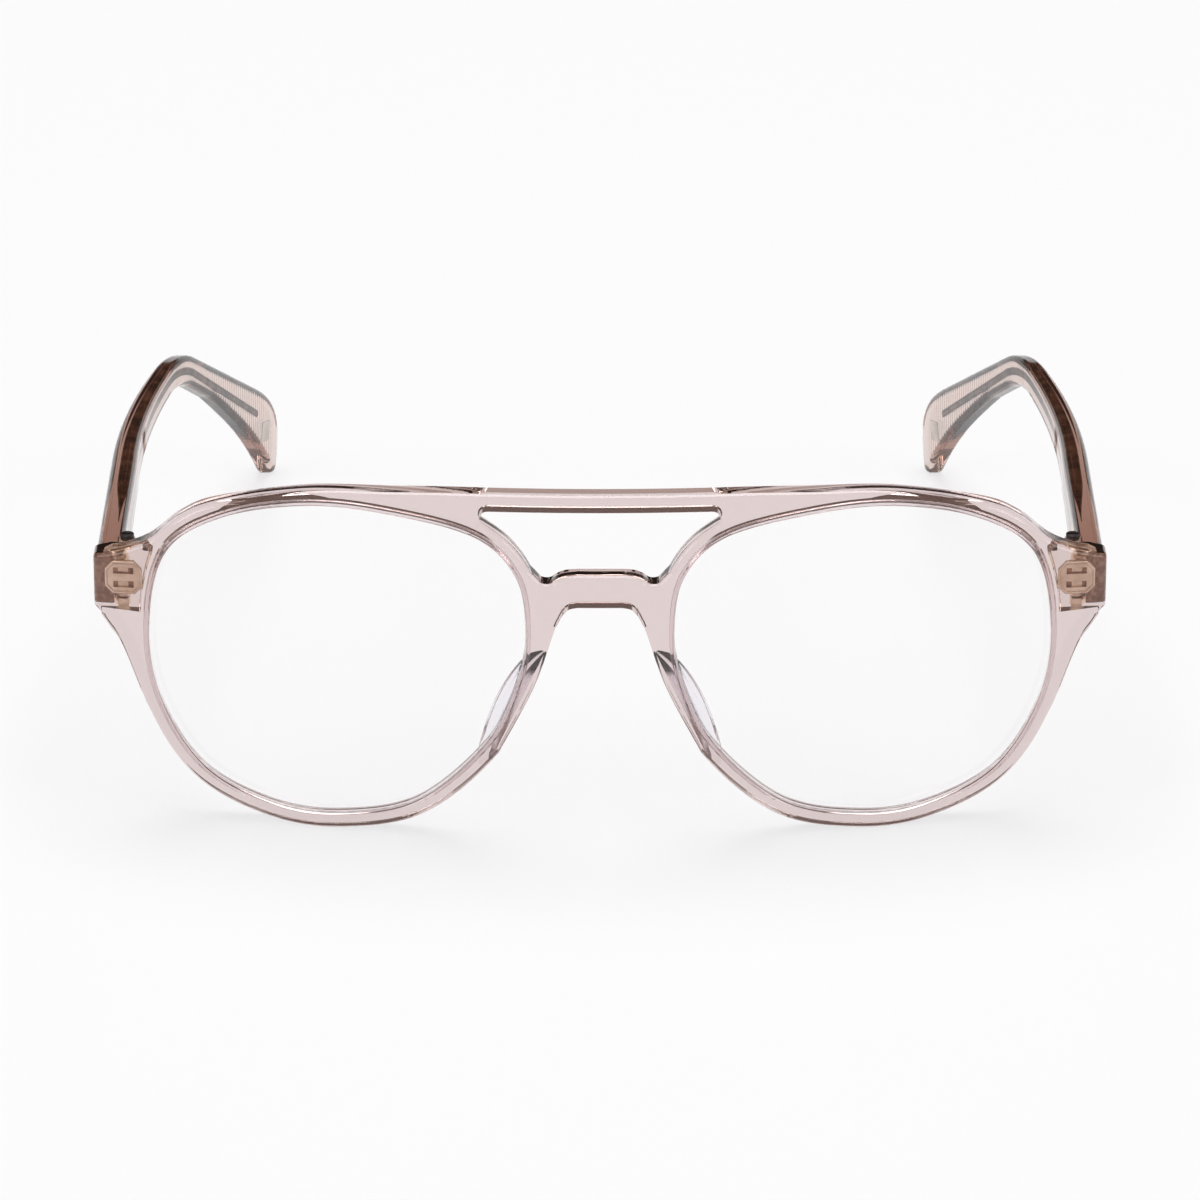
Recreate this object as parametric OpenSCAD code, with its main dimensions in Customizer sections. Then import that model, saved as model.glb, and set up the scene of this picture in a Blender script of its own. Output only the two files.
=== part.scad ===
// Acetate spectacle frame with a brow bar, clear lenses and two folding temples.
// The front faces -Y, +Z is up, and the lower rims and the temple tips stand on Z = 0.
// The origin lies there, halfway from the front to the ends of the tips.
// Sides are the wearer's: the right side is at -X.

/* [Lenses] */
// Width of one lens opening
lens_w = 54.4; // [50:0.1:57]
// Height of one lens opening
lens_h = 48.5; // [46:0.1:51]
// Gap between the two lens openings
lens_gap = 21.2; // [18:0.1:25]
// Thickness of a lens
lens_t = 1.8; // [1.2:0.1:2]
// Thickness of the tongue around a lens
tongue_t = 0.9; // [0.6:0.05:1]
// How far the tongue stands out from the lens edge
tongue_h = 0.7; // [0.4:0.05:0.9]
// Clearance between a lens and its seat
lens_fit = 0.03; // [0.02:0.01:0.06]

/* [Front] */
// Radius of the ball that the front surface lies on
front_r = 230; // [215:1:260]
// Thickness of the front
front_t = 3.3; // [2.8:0.1:3.4]
// Width of the free rim around a lens
rim_w = 2.25; // [2:0.05:2.6]
// Height of the brow bar
bar_h = 2.35; // [1.8:0.05:3]
// Height of the bar's top above the lens openings
bar_rise = 2.7; // [2.4:0.05:3.2]
// Half length of the flat on top of the brow bar
bar_flat = 16.6; // [12:0.1:18]
// Half width of the gap under the brow bar
gap_half = 17.2; // [15.5:0.1:17.8]
// Corner radius of that gap
gap_corner = 1.3; // [0.8:0.1:1.6]
// Height of the bridge
bridge_h = 4.7; // [3.8:0.1:5.4]
// Height of the bridge top above the middle of a lens
bridge_rise = 15.05; // [13:0.05:16]
// Half length of the straight part of the bridge
bridge_flat = 3.2; // [2.4:0.1:3.8]

/* [End pieces] */
// How far an end piece stands out from its lens opening
end_w = 8; // [7.6:0.1:9]
// Height of an end piece
end_h = 8.7; // [8.2:0.1:9.4]
// Height of the hinges above the middle of a lens
hinge_rise = 9.3; // [8:0.1:10]
// Least thickness of an end piece
end_t = 3.6; // [3.2:0.1:4.4]
// Corner radius of an end piece
end_corner = 0.9; // [0.5:0.1:1.4]
// Distance from a lens opening to the thick part of an end piece
block_in = 1; // [0.8:0.05:1.2]

/* [Hinges] */
// How far a hinge's axis lies inward of the temple's inner face
hinge_in = 0.6; // [0.45:0.05:0.75]
// Radius of a hinge barrel
barrel_r = 1.2; // [1.1:0.05:1.3]
// Number of knuckles in a hinge
knuckles = 7; // [3:2:7]
// Height of a knuckle
knuckle_h = 1.3; // [1.1:0.05:1.35]
// Gap between knuckles
knuckle_gap = 0.06; // [0.04:0.01:0.1]
// Radius of a hinge screw
screw_r = 0.6; // [0.5:0.05:0.7]
// Radial clearance of a hinge screw
screw_fit = 0.03; // [0.02:0.01:0.06]
// Radius of a screw head
head_r = 1; // [0.9:0.05:1.15]
// Height of a screw head
head_h = 0.7; // [0.5:0.1:0.9]
// Width of the driver slot
slot_w = 0.3; // [0.2:0.05:0.4]
// Thickness of a hinge plate
plate_t = 1; // [0.8:0.1:1.2]
// Width of the plate in an end piece
plate_w = 5.6; // [5:0.1:5.8]
// Height of the hinge plates
plate_h = 5; // [4.4:0.1:5.4]
// Width of the arms that carry the front knuckles
arm_w = 1.6; // [1.2:0.1:2]
// Length of the slots in the front plate
slot_l = 3; // [2.4:0.1:3.4]
// Height of those slots
slot_h = 0.9; // [0.6:0.05:1]
// Thickness left behind a slot
slot_floor = 0.3; // [0.2:0.05:0.4]
// Distance of each slot from the middle of the plate
slot_rise = 1.05; // [0.9:0.05:1.3]
// Length of the plate in a temple
leaf_l = 9; // [7:0.5:12]
// Length of the tall root of that plate
root_l = 1.2; // [1:0.1:1.6]
// Clearance around a metal piece in the acetate
metal_fit = 0.02; // [0.01:0.01:0.04]
// Clearance between moving faces
move_fit = 0.15; // [0.1:0.05:0.25]

/* [Temples] */
// Thickness of a temple at its hinge
temple_t = 3.75; // [3.5:0.05:4.2]
// How far a temple's outer face lies inside the end of the front
temple_in = 0.35; // [0.2:0.05:0.8]
// Thickness of a temple tip
tip_t = 2.8; // [2.5:0.1:3.2]
// Length from the end piece to the bend
temple_l = 69.6; // [62:0.1:76]
// Length from the end piece to where the temple starts to curve inward
straight_l = 34.3; // [24:0.1:40]
// Radius of that curve
curve_r = 157; // [140:1:175]
// Angle at which the temples end up turned inward
toe_in = 14; // [10:0.1:16]
// Angle at which the tips drop
drop = 30; // [27:0.1:33]
// Height of a temple at its bend
waist_h = 4.7; // [4.2:0.1:5.2]
// Drop of a temple's top edge from the hinge to the bend
waist_drop = 0.8; // [0.3:0.1:1.5]
// Radius of the bend along the top
bend_r = 26; // [20:1:32]
// Width of a tip near its end
tip_w = 11.8; // [10.8:0.1:12.6]
// Slack between an end piece and the closed face of a temple
butt_gap = 0.05; // [0.03:0.01:0.08]

/* [Core wires and inlays] */
// Radius of a core wire
core_r = 0.6; // [0.5:0.05:0.7]
// Cover of acetate between a core wire and the inner face at the wire's start
core_cover = 0.25; // [0.15:0.05:0.4]
// Length along which the wire moves from there to the middle of the temple
core_lead = 16; // [12:1:24]
// Length of a core wire past the bend
core_l = 38.6; // [30:0.1:40]
// Depth of its end below the top edge of the tip
core_w = 3.8; // [3.2:0.1:4.4]
// Length of the ribbed end of a core wire
rib_l = 11; // [8:0.5:13]
// Pitch of those ribs
rib_pitch = 0.7; // [0.5:0.05:1]
// Length of an inlay
inlay_w = 4.2; // [3.4:0.1:4.8]
// Height of an inlay
inlay_h = 3.25; // [2.6:0.05:3.6]
// Thickness of an inlay
inlay_t = 0.5; // [0.4:0.05:0.6]
// Distance of an inlay from the end of the tip
inlay_in = 9.2; // [8.2:0.1:10]
// Distance of an inlay below the top edge of the tip
inlay_low = 6; // [5.4:0.1:6.6]
// Angle at which an inlay tilts with the tip
inlay_tilt = 15; // [0:1:25]

/* [Nose pads] */
// Length of a nose pad
pad_l = 20; // [16:0.5:21]
// How far a nose pad stands out behind the front
pad_d = 2.7; // [2.1:0.1:3.6]
// Distance from a lens opening to the middle of a nose pad
pad_in = 0.9; // [0.7:0.05:1.2]
// Thickness of a nose pad
pad_t = 2; // [1.6:0.1:2.2]
// Angle at which a nose pad opens toward the face
pad_splay = 28; // [22:1:34]

/* [Hidden] */
$fn = 64;

acetate = [0.88, 0.83, 0.83];
clear = [0.93, 0.96, 0.98];
metal = [0.76, 0.70, 0.62];
steps = 6;

// Smooth curve through a list of points, closed or open
function blend(a, b, c, d, t) = 0.5 * (2 * b + (c - a) * t + (2 * a - 5 * b + 4 * c - d) * t * t
    + (3 * b - 3 * c + d - a) * t * t * t);
function loop_at(k, i) = k[(i + len(k)) % len(k)];
function loop_curve(k) = [for (i = [0:len(k) - 1], j = [0:steps - 1])
    blend(loop_at(k, i - 1), k[i], loop_at(k, i + 1), loop_at(k, i + 2), j / steps)];
function end_at(k, i) = i < 0 ? 2 * k[0] - k[1]
    : i >= len(k) ? 2 * k[len(k) - 1] - k[len(k) - 2] : k[i];
function open_curve(k, n) = [for (i = [0:len(k) - 2], j = [0:n - 1])
    blend(end_at(k, i - 1), k[i], k[i + 1], end_at(k, i + 2), j / n), k[len(k) - 1]];
function arc(c, r, a, b, n) = [for (i = [0:n]) c + r * [cos(a + (b - a) * i / n), sin(a + (b - a) * i / n)]];
function flip(p) = [for (i = [len(p) - 1:-1:0]) [-p[i][0], p[i][1]]];
function heights(p) = [for (q = p) q[1]];

// Lens shape as shares of its half width and half height. The nose is at -1.
lens_shape = [[-1, 0.25], [-0.95, 0.6], [-0.735, 0.845], [-0.3, 0.965], [0.14, 0.99],
    [0.59, 0.875], [0.9, 0.62], [1, 0.14], [0.945, -0.33], [0.72, -0.755], [0.36, -0.965],
    [0, -1], [-0.42, -0.875], [-0.79, -0.47], [-0.955, -0.06]];
lens_curve = [for (p = loop_curve(lens_shape)) [p[0] * lens_w / 2, p[1] * lens_h / 2]];
count = len(lens_curve);
function lens_normal(i) = let (d = loop_at(lens_curve, i + 1) - loop_at(lens_curve, i - 1))
    [-d[1], d[0]] / norm(d);
function around(i, w) = lens_curve[i] + w * lens_normal(i);

// Places that the pieces share
lens_x = lens_gap / 2 + lens_w / 2;
lens_z = -min(heights([for (i = [0:count - 1]) around(i, rim_w)]));
top_z = lens_z + lens_h / 2 + bar_rise;
bar_low = top_z - bar_h;
bridge_top = lens_z + bridge_rise;
bridge_low = bridge_top - bridge_h;
hinge_z = lens_z + hinge_rise;
end_x = lens_x + lens_w / 2 + end_w;
end_top = hinge_z + end_h / 2;
end_low = hinge_z - end_h / 2;
function sag(x, z) = front_r - sqrt(front_r * front_r - x * x - (z - lens_z) * (z - lens_z));
butt_y = sag(end_x, hinge_z) + end_t;
temple_x = end_x - temple_in;
leaf_x = temple_x - temple_t;
hinge_x = leaf_x - hinge_in;
hinge_y = butt_y + barrel_r + move_fit;
stack_h = knuckles * knuckle_h + (knuckles - 1) * knuckle_gap;

// Outer outline of half the front, from the brow bar round to the bridge
function rim_point(i, w) = [lens_x, lens_z] + around(i, w);
brow = open_curve([[bar_flat, top_z], [bar_flat + 5.5, top_z - 0.03], [lens_x - 8.5, top_z - 0.25],
    rim_point(4 * steps, rim_w - 0.15), rim_point(5 * steps, rim_w), rim_point(5.5 * steps, rim_w + 0.2),
    [end_x - 8.6, end_top + 3.2], [end_x - 5, end_top + 1.25], [end_x - 1.6, end_top + 0.15]], 4);
end_side = concat(arc([end_x - end_corner, end_top - end_corner], end_corner, 80, 0, 4),
    arc([end_x - end_corner, end_low + end_corner], end_corner, 0, -45, 3));
under = open_curve([[end_x - 0.9, end_low - 0.35], [end_x - 2.2, end_low - 2.2],
    [end_x - 4.1, end_low - 5.2], rim_point(8 * steps, rim_w + 0.15)], 4);
rim_low = [for (i = [8 * steps + 2:13 * steps - 1]) rim_point(i, rim_w)];
nose = open_curve([rim_point(13 * steps, rim_w), rim_point(14 * steps, rim_w + 0.25),
    rim_point(0, 3.9), [bridge_flat + 2.8, bridge_low - 2.5], [bridge_flat + 2.1, bridge_low - 1.15],
    [bridge_flat + 1.2, bridge_low - 0.3], [bridge_flat, bridge_low]], 4);
half_front = concat(brow, end_side, under, rim_low, nose);

// Outline of half the gap between the brow bar and the bridge
half_gap = concat(arc([gap_half - gap_corner, bar_low - gap_corner], gap_corner, 90, -20, 6),
    [for (i = [2 * steps - 1:-1:steps]) rim_point(i, rim_w)],
    open_curve([[bridge_flat + 5.7, bridge_top - 0.6], [bridge_flat + 5.25, bridge_top - 1.1],
        [bridge_flat + 4.7, bridge_top - 1.3], [bridge_flat + 4.1, bridge_top - 1.3],
        [bridge_flat + 3.6, bridge_top - 1.1], [bridge_flat + 2.9, bridge_top - 0.6],
        [bridge_flat + 1.7, bridge_top - 0.15], [bridge_flat, bridge_top]], 3));

// Side outline of a temple in y and z. The tip's end is drawn as how far each point lies
// from the end and how far it lies between the waist and the full width of the tip.
bend_y = butt_y + temple_l;
waist_z = end_top - waist_drop;
tip_start = [bend_y + bend_r * sin(drop), waist_z - bend_r * (1 - cos(drop))];
function wide(s) = waist_h + s * (tip_w - waist_h);
tip_end = open_curve([[16, 0], [12, 0.15], [8.4, 0.6], [5, 1.7], [2.6, 3.4], [1.2, 5.8],
    [0.3, wide(0.55)], [0, wide(0.8)], [0.4, wide(0.96)], [1.5, wide(1)], [2.9, wide(0.95)],
    [5.3, wide(0.84)], [11, wide(0.62)], [17.2, wide(0.43)], [23, wide(0.3)], [28.7, wide(0.2)],
    [34.4, wide(0.11)], [41, wide(0.02)]], 2);
function along(p, l) = tip_start + (l - p[0]) * [cos(drop), -sin(drop)] - p[1] * [sin(drop), cos(drop)];
tip_l = min(heights([for (p = tip_end) along(p, 0)])) / sin(drop);
temple_side = concat([[butt_y + butt_gap, end_top]],
    arc([bend_y, waist_z - bend_r], bend_r, 90, 90 - drop, 6),
    [for (p = tip_end) along(p, tip_l)],
    arc([bend_y, waist_z - bend_r], bend_r - waist_h, 90 - drop, 90, 6),
    [[butt_y + butt_gap, end_low]]);

// Plan outline of a temple in x and y
curve_y = butt_y + straight_l;
curve_c = [temple_x - curve_r, curve_y];
function thick(s) = temple_t + s * (tip_t - temple_t);
function plan_at(s, share) = curve_c + (curve_r - share * thick(s)) * [cos(toe_in * s), sin(toe_in * s)];
function plan_end(share) = plan_at(1, share) + 2 * temple_l * [-sin(toe_in), cos(toe_in)];
plan_steps = 12;
temple_plan = concat([[temple_x, butt_y]], [for (i = [0:plan_steps]) plan_at(i / plan_steps, 0)],
    [plan_end(0), plan_end(1)], [for (i = [plan_steps:-1:0]) plan_at(i / plan_steps, 1)],
    [[temple_x - temple_t, butt_y]]);

// Middle of a temple's thickness at a place along y
function middle_x(y) = y < curve_y ? temple_x - temple_t / 2
    : let (s = min(1, asin(min(1, (y - curve_y) / curve_r)) / toe_in), p = plan_at(s, 0.5))
        p[0] - (y - p[1]) * tan(toe_in * s);

// Route of a core wire
leaf_y = hinge_y + barrel_r + move_fit;
core_y = leaf_y + leaf_l;
core_end = along([tip_l - core_l, core_w], tip_l);
core_side = concat([for (i = [0:11]) [core_y + 3 * metal_fit + (bend_y - core_y) * i / 12,
        hinge_z + (waist_z - waist_h / 2 - hinge_z) * i / 12]],
    arc([bend_y, waist_z - bend_r], bend_r - waist_h / 2, 90, 90 - drop, 4));
core_turn = core_side[len(core_side) - 1];
ribs = floor(rib_l / rib_pitch);
rib_start = core_l - ribs * rib_pitch;
core_way = (core_end - core_turn) / norm(core_end - core_turn);
core_in = temple_x - temple_t / 2 - (leaf_x + core_cover + core_r);
function ease(u) = u * u * (3 - 2 * u);
function place(p) = [middle_x(p[0]) - core_in * ease(max(0, min(1, 1 - (p[0] - core_y) / core_lead))),
    p[0], p[1]];
core_plain = concat([for (p = core_side) place(p)],
    [for (i = [1:5]) place(core_turn + core_way * rib_start * i / 5)]);

// Tube of a given radius at each place of a route
sides = 12;
module tube(route, radii) {
    last = len(route) - 1;
    rings = [for (i = [0:last]) let (way = route[min(i + 1, last)] - route[max(i - 1, 0)],
        up = cross(way, [1, 0, 0]) / norm(cross(way, [1, 0, 0])), out = cross(up, way) / norm(way))
        for (j = [0:sides - 1]) route[i] + radii[i] * (cos(360 * j / sides) * out + sin(360 * j / sides) * up)];
    walls = [for (i = [0:last - 1], j = [0:sides - 1]) let (k = (j + 1) % sides)
        for (f = [[i * sides + j, (i + 1) * sides + j, i * sides + k],
            [i * sides + k, (i + 1) * sides + j, (i + 1) * sides + k]]) f];
    polyhedron(rings, concat([[for (j = [0:sides - 1]) j]],
        [[for (j = [sides - 1:-1:0]) last * sides + j]], walls));
}

// Halfway from the foremost point of the front to the ends of the tips
middle_y = (min([for (p = half_front) sag(p[0], p[1])]) + max([for (p = temple_side) p[0]])) / 2;

module mirrored(on) {
    mirror([on ? 1 : 0, 0, 0]) children();
}

// A node in its place, on the right side where it is turned over
module placed(right) {
    translate([0, -middle_y, 0]) mirrored(right) children();
}

// Everything that lies at least a depth d behind the front surface
ball_sides = 480;
fine_sides = 960;
module ball(d, sides = ball_sides) {
    translate([0, front_r, lens_z]) sphere(r = front_r - d, $fn = sides);
}

// An outline drawn in x and z, run from before the front back to a depth
module upright(points, depth) {
    translate([0, depth, 0]) rotate([90, 0, 0]) linear_extrude(height = depth + 1) polygon(points);
}

module outline_2d() {
    difference() {
        polygon(concat(half_front, flip(half_front)));
        polygon(concat(half_gap, flip(half_gap)));
    }
}

function lens_outline(w) = [for (i = [0:count - 1]) rim_point(i, w)];
lens_front = (front_t - lens_t) / 2;
tongue_front = (front_t - tongue_t) / 2;
deep = butt_y + 1;

module groove() {
    intersection() {
        upright(lens_outline(tongue_h + lens_fit), deep);
        difference() {
            ball(tongue_front - lens_fit);
            ball(tongue_front + tongue_t + lens_fit);
        }
    }
}

// Thick back of an end piece, which ends in the flat face that the temple closes on
module end_block() {
    difference() {
        intersection() {
            upright(half_front, deep);
            ball(0);
            translate([lens_x, 0, end_low - 0.4]) cube([end_x, butt_y, end_h + 0.8]);
        }
        upright(lens_outline(block_in), deep + 1);
    }
}

// Plate in the back of an end piece: its corners are cut, and a strip as wide as the arms
// runs up and down to the outer knuckles
plate_r = 0.53 * plate_w;
module plate_shape(grow) {
    intersection() {
        translate([hinge_x - plate_w / 2 - grow, butt_y - plate_t - grow, hinge_z - plate_h / 2 - grow])
            cube([plate_w + 2 * grow, plate_t + 2 * grow, plate_h + 2 * grow]);
        translate([hinge_x, deep, hinge_z]) rotate([90, 0, 0]) rotate([0, 0, 22.5])
            cylinder(r = plate_r + grow, h = plate_t + 3, $fn = 8);
    }
    translate([hinge_x - arm_w / 2 - grow, butt_y - plate_t - grow, hinge_z - stack_h / 2 - grow])
        cube([arm_w + 2 * grow, plate_t + 2 * grow, stack_h + 2 * grow]);
}

module frame_front() {
    color(acetate) placed(false) difference() {
        union() {
            difference() {
                intersection() {
                    translate([0, deep, 0]) rotate([90, 0, 0]) linear_extrude(height = deep + 1) outline_2d();
                    ball(0);
                }
                ball(front_t);
            }
            for (left = [false, true]) mirrored(!left) end_block();
        }
        for (left = [false, true]) mirrored(!left) {
            upright(lens_outline(0), deep);
            groove();
            plate_shape(metal_fit);
        }
    }
}

module lens(left) {
    color(clear) placed(!left) union() {
        intersection() {
            upright(lens_outline(-lens_fit), deep);
            difference() {
                ball(lens_front);
                ball(lens_front + lens_t);
            }
        }
        intersection() {
            upright(lens_outline(tongue_h), deep);
            difference() {
                ball(tongue_front);
                ball(tongue_front + tongue_t);
            }
        }
    }
}

// A pad is part of a disc, tilted along the rim, opened to the face and cut by the front's back
pad_low = rim_point(13 * steps, 0);
pad_high = rim_point(14 * steps, 0);
pad_tilt = atan2(pad_low[0] - pad_high[0], pad_high[1] - pad_low[1]);
pad_mid = (pad_low + pad_high) / 2 - [pad_in, 0];
pad_r = (pad_l * pad_l / 4 + pad_d * pad_d) / (2 * pad_d);
module nose_pad(left) {
    color(clear) placed(!left) intersection() {
        translate([pad_mid[0], sag(pad_mid[0], pad_mid[1]) + front_t, pad_mid[1]])
            rotate([0, -pad_tilt, 0]) rotate([0, 0, -pad_splay])
            translate([-pad_t / 2, pad_d - pad_r, 0]) rotate([0, 90, 0])
            cylinder(r = pad_r, h = pad_t, $fn = fine_sides);
        ball(front_t, fine_sides);
    }
}

// Knuckles of one hinge half, with an arm from each to its plate
module knuckle_set(first, arm_from, arm_size) {
    difference() {
        union() {
            for (i = [first:2:knuckles - 1]) {
                translate([hinge_x, hinge_y, hinge_z - stack_h / 2 + i * (knuckle_h + knuckle_gap)]) {
                    cylinder(r = barrel_r, h = knuckle_h);
                    translate(arm_from) cube([arm_size[0], arm_size[1], knuckle_h]);
                }
            }
            children();
        }
        translate([hinge_x, hinge_y, hinge_z - stack_h]) cylinder(r = screw_r + screw_fit, h = 2 * stack_h);
    }
}

module front_hinge(left) {
    color(metal) placed(!left) difference() {
        knuckle_set(0, [-arm_w / 2, butt_y - hinge_y - plate_t / 2, 0],
            [arm_w, hinge_y - butt_y + plate_t / 2]) plate_shape(0);
        for (z = [-slot_rise, slot_rise]) translate([hinge_x - slot_l / 2, butt_y - plate_t - 1,
            hinge_z + z - slot_h / 2]) cube([slot_l, plate_t + 1 - slot_floor, slot_h]);
    }
}

// The leaf in a temple, with a taller root that carries the knuckles
module leaf_shape(grow) {
    root_h = stack_h - 2 * (knuckle_h + knuckle_gap);
    translate([leaf_x - grow, leaf_y - grow, hinge_z - plate_h / 2 - grow])
        cube([plate_t + 2 * grow, leaf_l + 2 * grow, plate_h + 2 * grow]);
    translate([leaf_x - grow, leaf_y - grow, hinge_z - root_h / 2 - grow])
        cube([plate_t + 2 * grow, root_l + 2 * grow, root_h + 2 * grow]);
}

module temple_hinge(left) {
    color(metal) placed(!left)
        knuckle_set(1, [0, 0, 0], [barrel_r, leaf_y - hinge_y + root_l / 2]) leaf_shape(0);
}

module hinge_screw(left) {
    color(metal) placed(!left) translate([hinge_x, hinge_y, hinge_z]) difference() {
        union() {
            translate([0, 0, -stack_h / 2]) cylinder(r = screw_r, h = stack_h + head_h / 2);
            translate([0, 0, stack_h / 2 + metal_fit]) cylinder(r = head_r, h = head_h);
        }
        translate([-head_r - 1, -slot_w / 2, stack_h / 2 + metal_fit + head_h / 2])
            cube([2 * head_r + 2, slot_w, head_h]);
    }
}

module core_bore() {
    route = concat([place([core_y - root_l / 2, hinge_z])], core_plain,
        [place(core_turn + core_way * (core_l + metal_fit))]);
    tube(route, [for (p = route) core_r + metal_fit]);
}

// The flat face of a tip, with its own axes: x into the tip, y along it
module on_tip() {
    from = plan_at(1, 1);
    translate([from[0], from[1], 0]) rotate([0, 0, toe_in]) children();
}
inlay_at = along([inlay_in, inlay_low], tip_l);
module inlay_shape(grow) {
    y = (inlay_at[0] - plan_at(1, 1)[1]) / cos(toe_in);
    on_tip() translate([-grow, y, inlay_at[1]]) rotate([-inlay_tilt, 0, 0])
        translate([0, -inlay_w / 2 - grow, -inlay_h / 2 - grow])
        cube([inlay_t + 2 * grow, inlay_w + 2 * grow, inlay_h + 2 * grow]);
}

module temple(left) {
    color(acetate) placed(!left) difference() {
        intersection() {
            linear_extrude(height = end_top + 1) polygon(temple_plan);
            translate([lens_x, 0, 0]) rotate([90, 0, 90]) linear_extrude(height = end_x) polygon(temple_side);
        }
        translate([hinge_x - 1, 0, -1])
            cube([barrel_r + move_fit + 1, leaf_y, end_top + 2]);
        leaf_shape(metal_fit);
        core_bore();
        inlay_shape(metal_fit);
    }
}

module temple_core(left) {
    ring = concat(core_plain, [for (i = [1:ribs], h = [0, 0.5]) place(core_turn + core_way
        * (rib_start + (i - 0.5 + h) * rib_pitch))]);
    color(metal) placed(!left)
        tube(ring, concat([for (p = core_plain) core_r], [for (i = [1:ribs], h = [0.8, 1]) core_r * h]));
}

module tip_inlay(left) {
    color(metal) placed(!left) inlay_shape(0);
}

frame_front();
lens(false);  // lens_right
lens(true);  // lens_left
nose_pad(false);  // nose_pad_right
nose_pad(true);  // nose_pad_left
front_hinge(false);  // front_hinge_right
front_hinge(true);  // front_hinge_left
hinge_screw(false);  // hinge_screw_right
hinge_screw(true);  // hinge_screw_left
temple_hinge(false);  // temple_hinge_right
temple_hinge(true);  // temple_hinge_left
temple(false);  // temple_right
temple(true);  // temple_left
temple_core(false);  // temple_core_right
temple_core(true);  // temple_core_left
tip_inlay(false);  // tip_inlay_right
tip_inlay(true);  // tip_inlay_left
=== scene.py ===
"""Spectacle frame of clear blush acetate with clear lenses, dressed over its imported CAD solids.

Sizes are in millimetres until a piece is finished, and the front faces -Y. Pieces are built on
the wearer's left side, at +X, and turned over for the right one.
"""

from __future__ import annotations

import logging
import math
import sys
from dataclasses import dataclass, replace
from enum import Enum
from typing import Any, Callable, Iterable, Sequence

import bmesh
import bpy
from mathutils import Matrix, Vector


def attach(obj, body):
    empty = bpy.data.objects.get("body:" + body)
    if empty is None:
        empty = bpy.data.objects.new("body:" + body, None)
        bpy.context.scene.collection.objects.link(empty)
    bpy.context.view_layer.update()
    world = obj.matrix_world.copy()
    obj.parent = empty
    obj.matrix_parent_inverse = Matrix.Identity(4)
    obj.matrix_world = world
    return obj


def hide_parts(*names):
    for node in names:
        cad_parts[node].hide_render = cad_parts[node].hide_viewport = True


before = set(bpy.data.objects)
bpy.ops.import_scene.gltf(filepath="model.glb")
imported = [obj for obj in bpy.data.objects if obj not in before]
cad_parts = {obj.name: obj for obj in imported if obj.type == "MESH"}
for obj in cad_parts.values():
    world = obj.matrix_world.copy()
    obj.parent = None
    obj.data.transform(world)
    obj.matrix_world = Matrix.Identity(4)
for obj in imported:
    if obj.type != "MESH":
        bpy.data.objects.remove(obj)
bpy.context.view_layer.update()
LOG = logging.getLogger("spectacles")
MM = 0.001
WELD = 1e-4  # points nearer to each other than this, in millimetres, are one
NEAR = 0.01  # how near to a plane, in millimetres, a point counts as on it


class Side(Enum):
    """The wearer's side that a piece sits on, with the sign of its x."""

    RIGHT = -1
    LEFT = 1

    @property
    def word(self) -> str:
        """The side's name as the CAD nodes spell it."""
        return self.name.lower()


class Slot(Enum):
    """Names of material slots, which the hinge pieces list beside their materials."""

    ACETATE = "acetate"
    LENS = "lens"
    PAD = "pad"
    HINGE = "hinge_metal"
    SCREW = "screw"
    CORE = "core_wire"
    INLAY = "inlay"


# ---------------------------------------------------------------- curves


def blend(a: Vector, b: Vector, c: Vector, d: Vector, t: float) -> Vector:
    """Point on a smooth curve between two of four points.

    Args:
        a: Point before the stretch.
        b: Start of the stretch.
        c: End of the stretch.
        d: Point after the stretch.
        t: Share of the stretch, from 0 to 1.

    Returns:
        The point on the curve.
    """
    return 0.5 * (
        2 * b + (c - a) * t + (2 * a - 5 * b + 4 * c - d) * t**2 + (3 * b - 3 * c + d - a) * t**3
    )


def open_curve(keys: Sequence[Sequence[float]], count: int) -> list[Vector]:
    """Smooth open curve through points.

    Args:
        keys: Points that the curve passes through.
        count: Steps from each point to the next.

    Returns:
        The points of the curve.
    """
    points = [Vector(k) for k in keys]
    padded = [2 * points[0] - points[1], *points, 2 * points[-1] - points[-2]]
    curve = [
        blend(*padded[i : i + 4], j / count) for i in range(len(points) - 1) for j in range(count)
    ]
    return curve + [points[-1]]


def arc(
    centre: Sequence[float], radius: float, start: float, end: float, count: int
) -> list[Vector]:
    """Points on an arc, with its angles in degrees.

    Args:
        centre: Centre of the arc.
        radius: Its radius.
        start: First angle.
        end: Last angle.
        count: Steps from the first point to the last.

    Returns:
        The points.
    """
    turns = [math.radians(start + (end - start) * i / count) for i in range(count + 1)]
    return [Vector(centre) + radius * Vector((math.cos(a), math.sin(a))) for a in turns]


def flip(points: Iterable[Vector]) -> list[Vector]:
    """The same outline on the other side of the middle, run backwards."""
    return [Vector((-p.x, p.y)) for p in reversed(list(points))]


# ---------------------------------------------------------------- mesh work


def fill(bm: bmesh.types.BMesh, loops: Iterable[Sequence[Vector]]) -> list[bmesh.types.BMFace]:
    """Fills outlines drawn in x and z, where a loop inside another leaves a hole.

    Args:
        bm: Mesh that takes the faces.
        loops: Closed outlines.

    Returns:
        The new faces.
    """
    edges = []
    for loop in loops:
        ring = [bm.verts.new((p.x, 0, p.y)) for p in loop]
        edges += [bm.edges.new((ring[i - 1], ring[i])) for i in range(len(ring))]
    made = bmesh.ops.triangle_fill(bm, use_beauty=True, edges=edges, normal=(0, -1, 0))
    return [g for g in made["geom"] if isinstance(g, bmesh.types.BMFace)]


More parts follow.
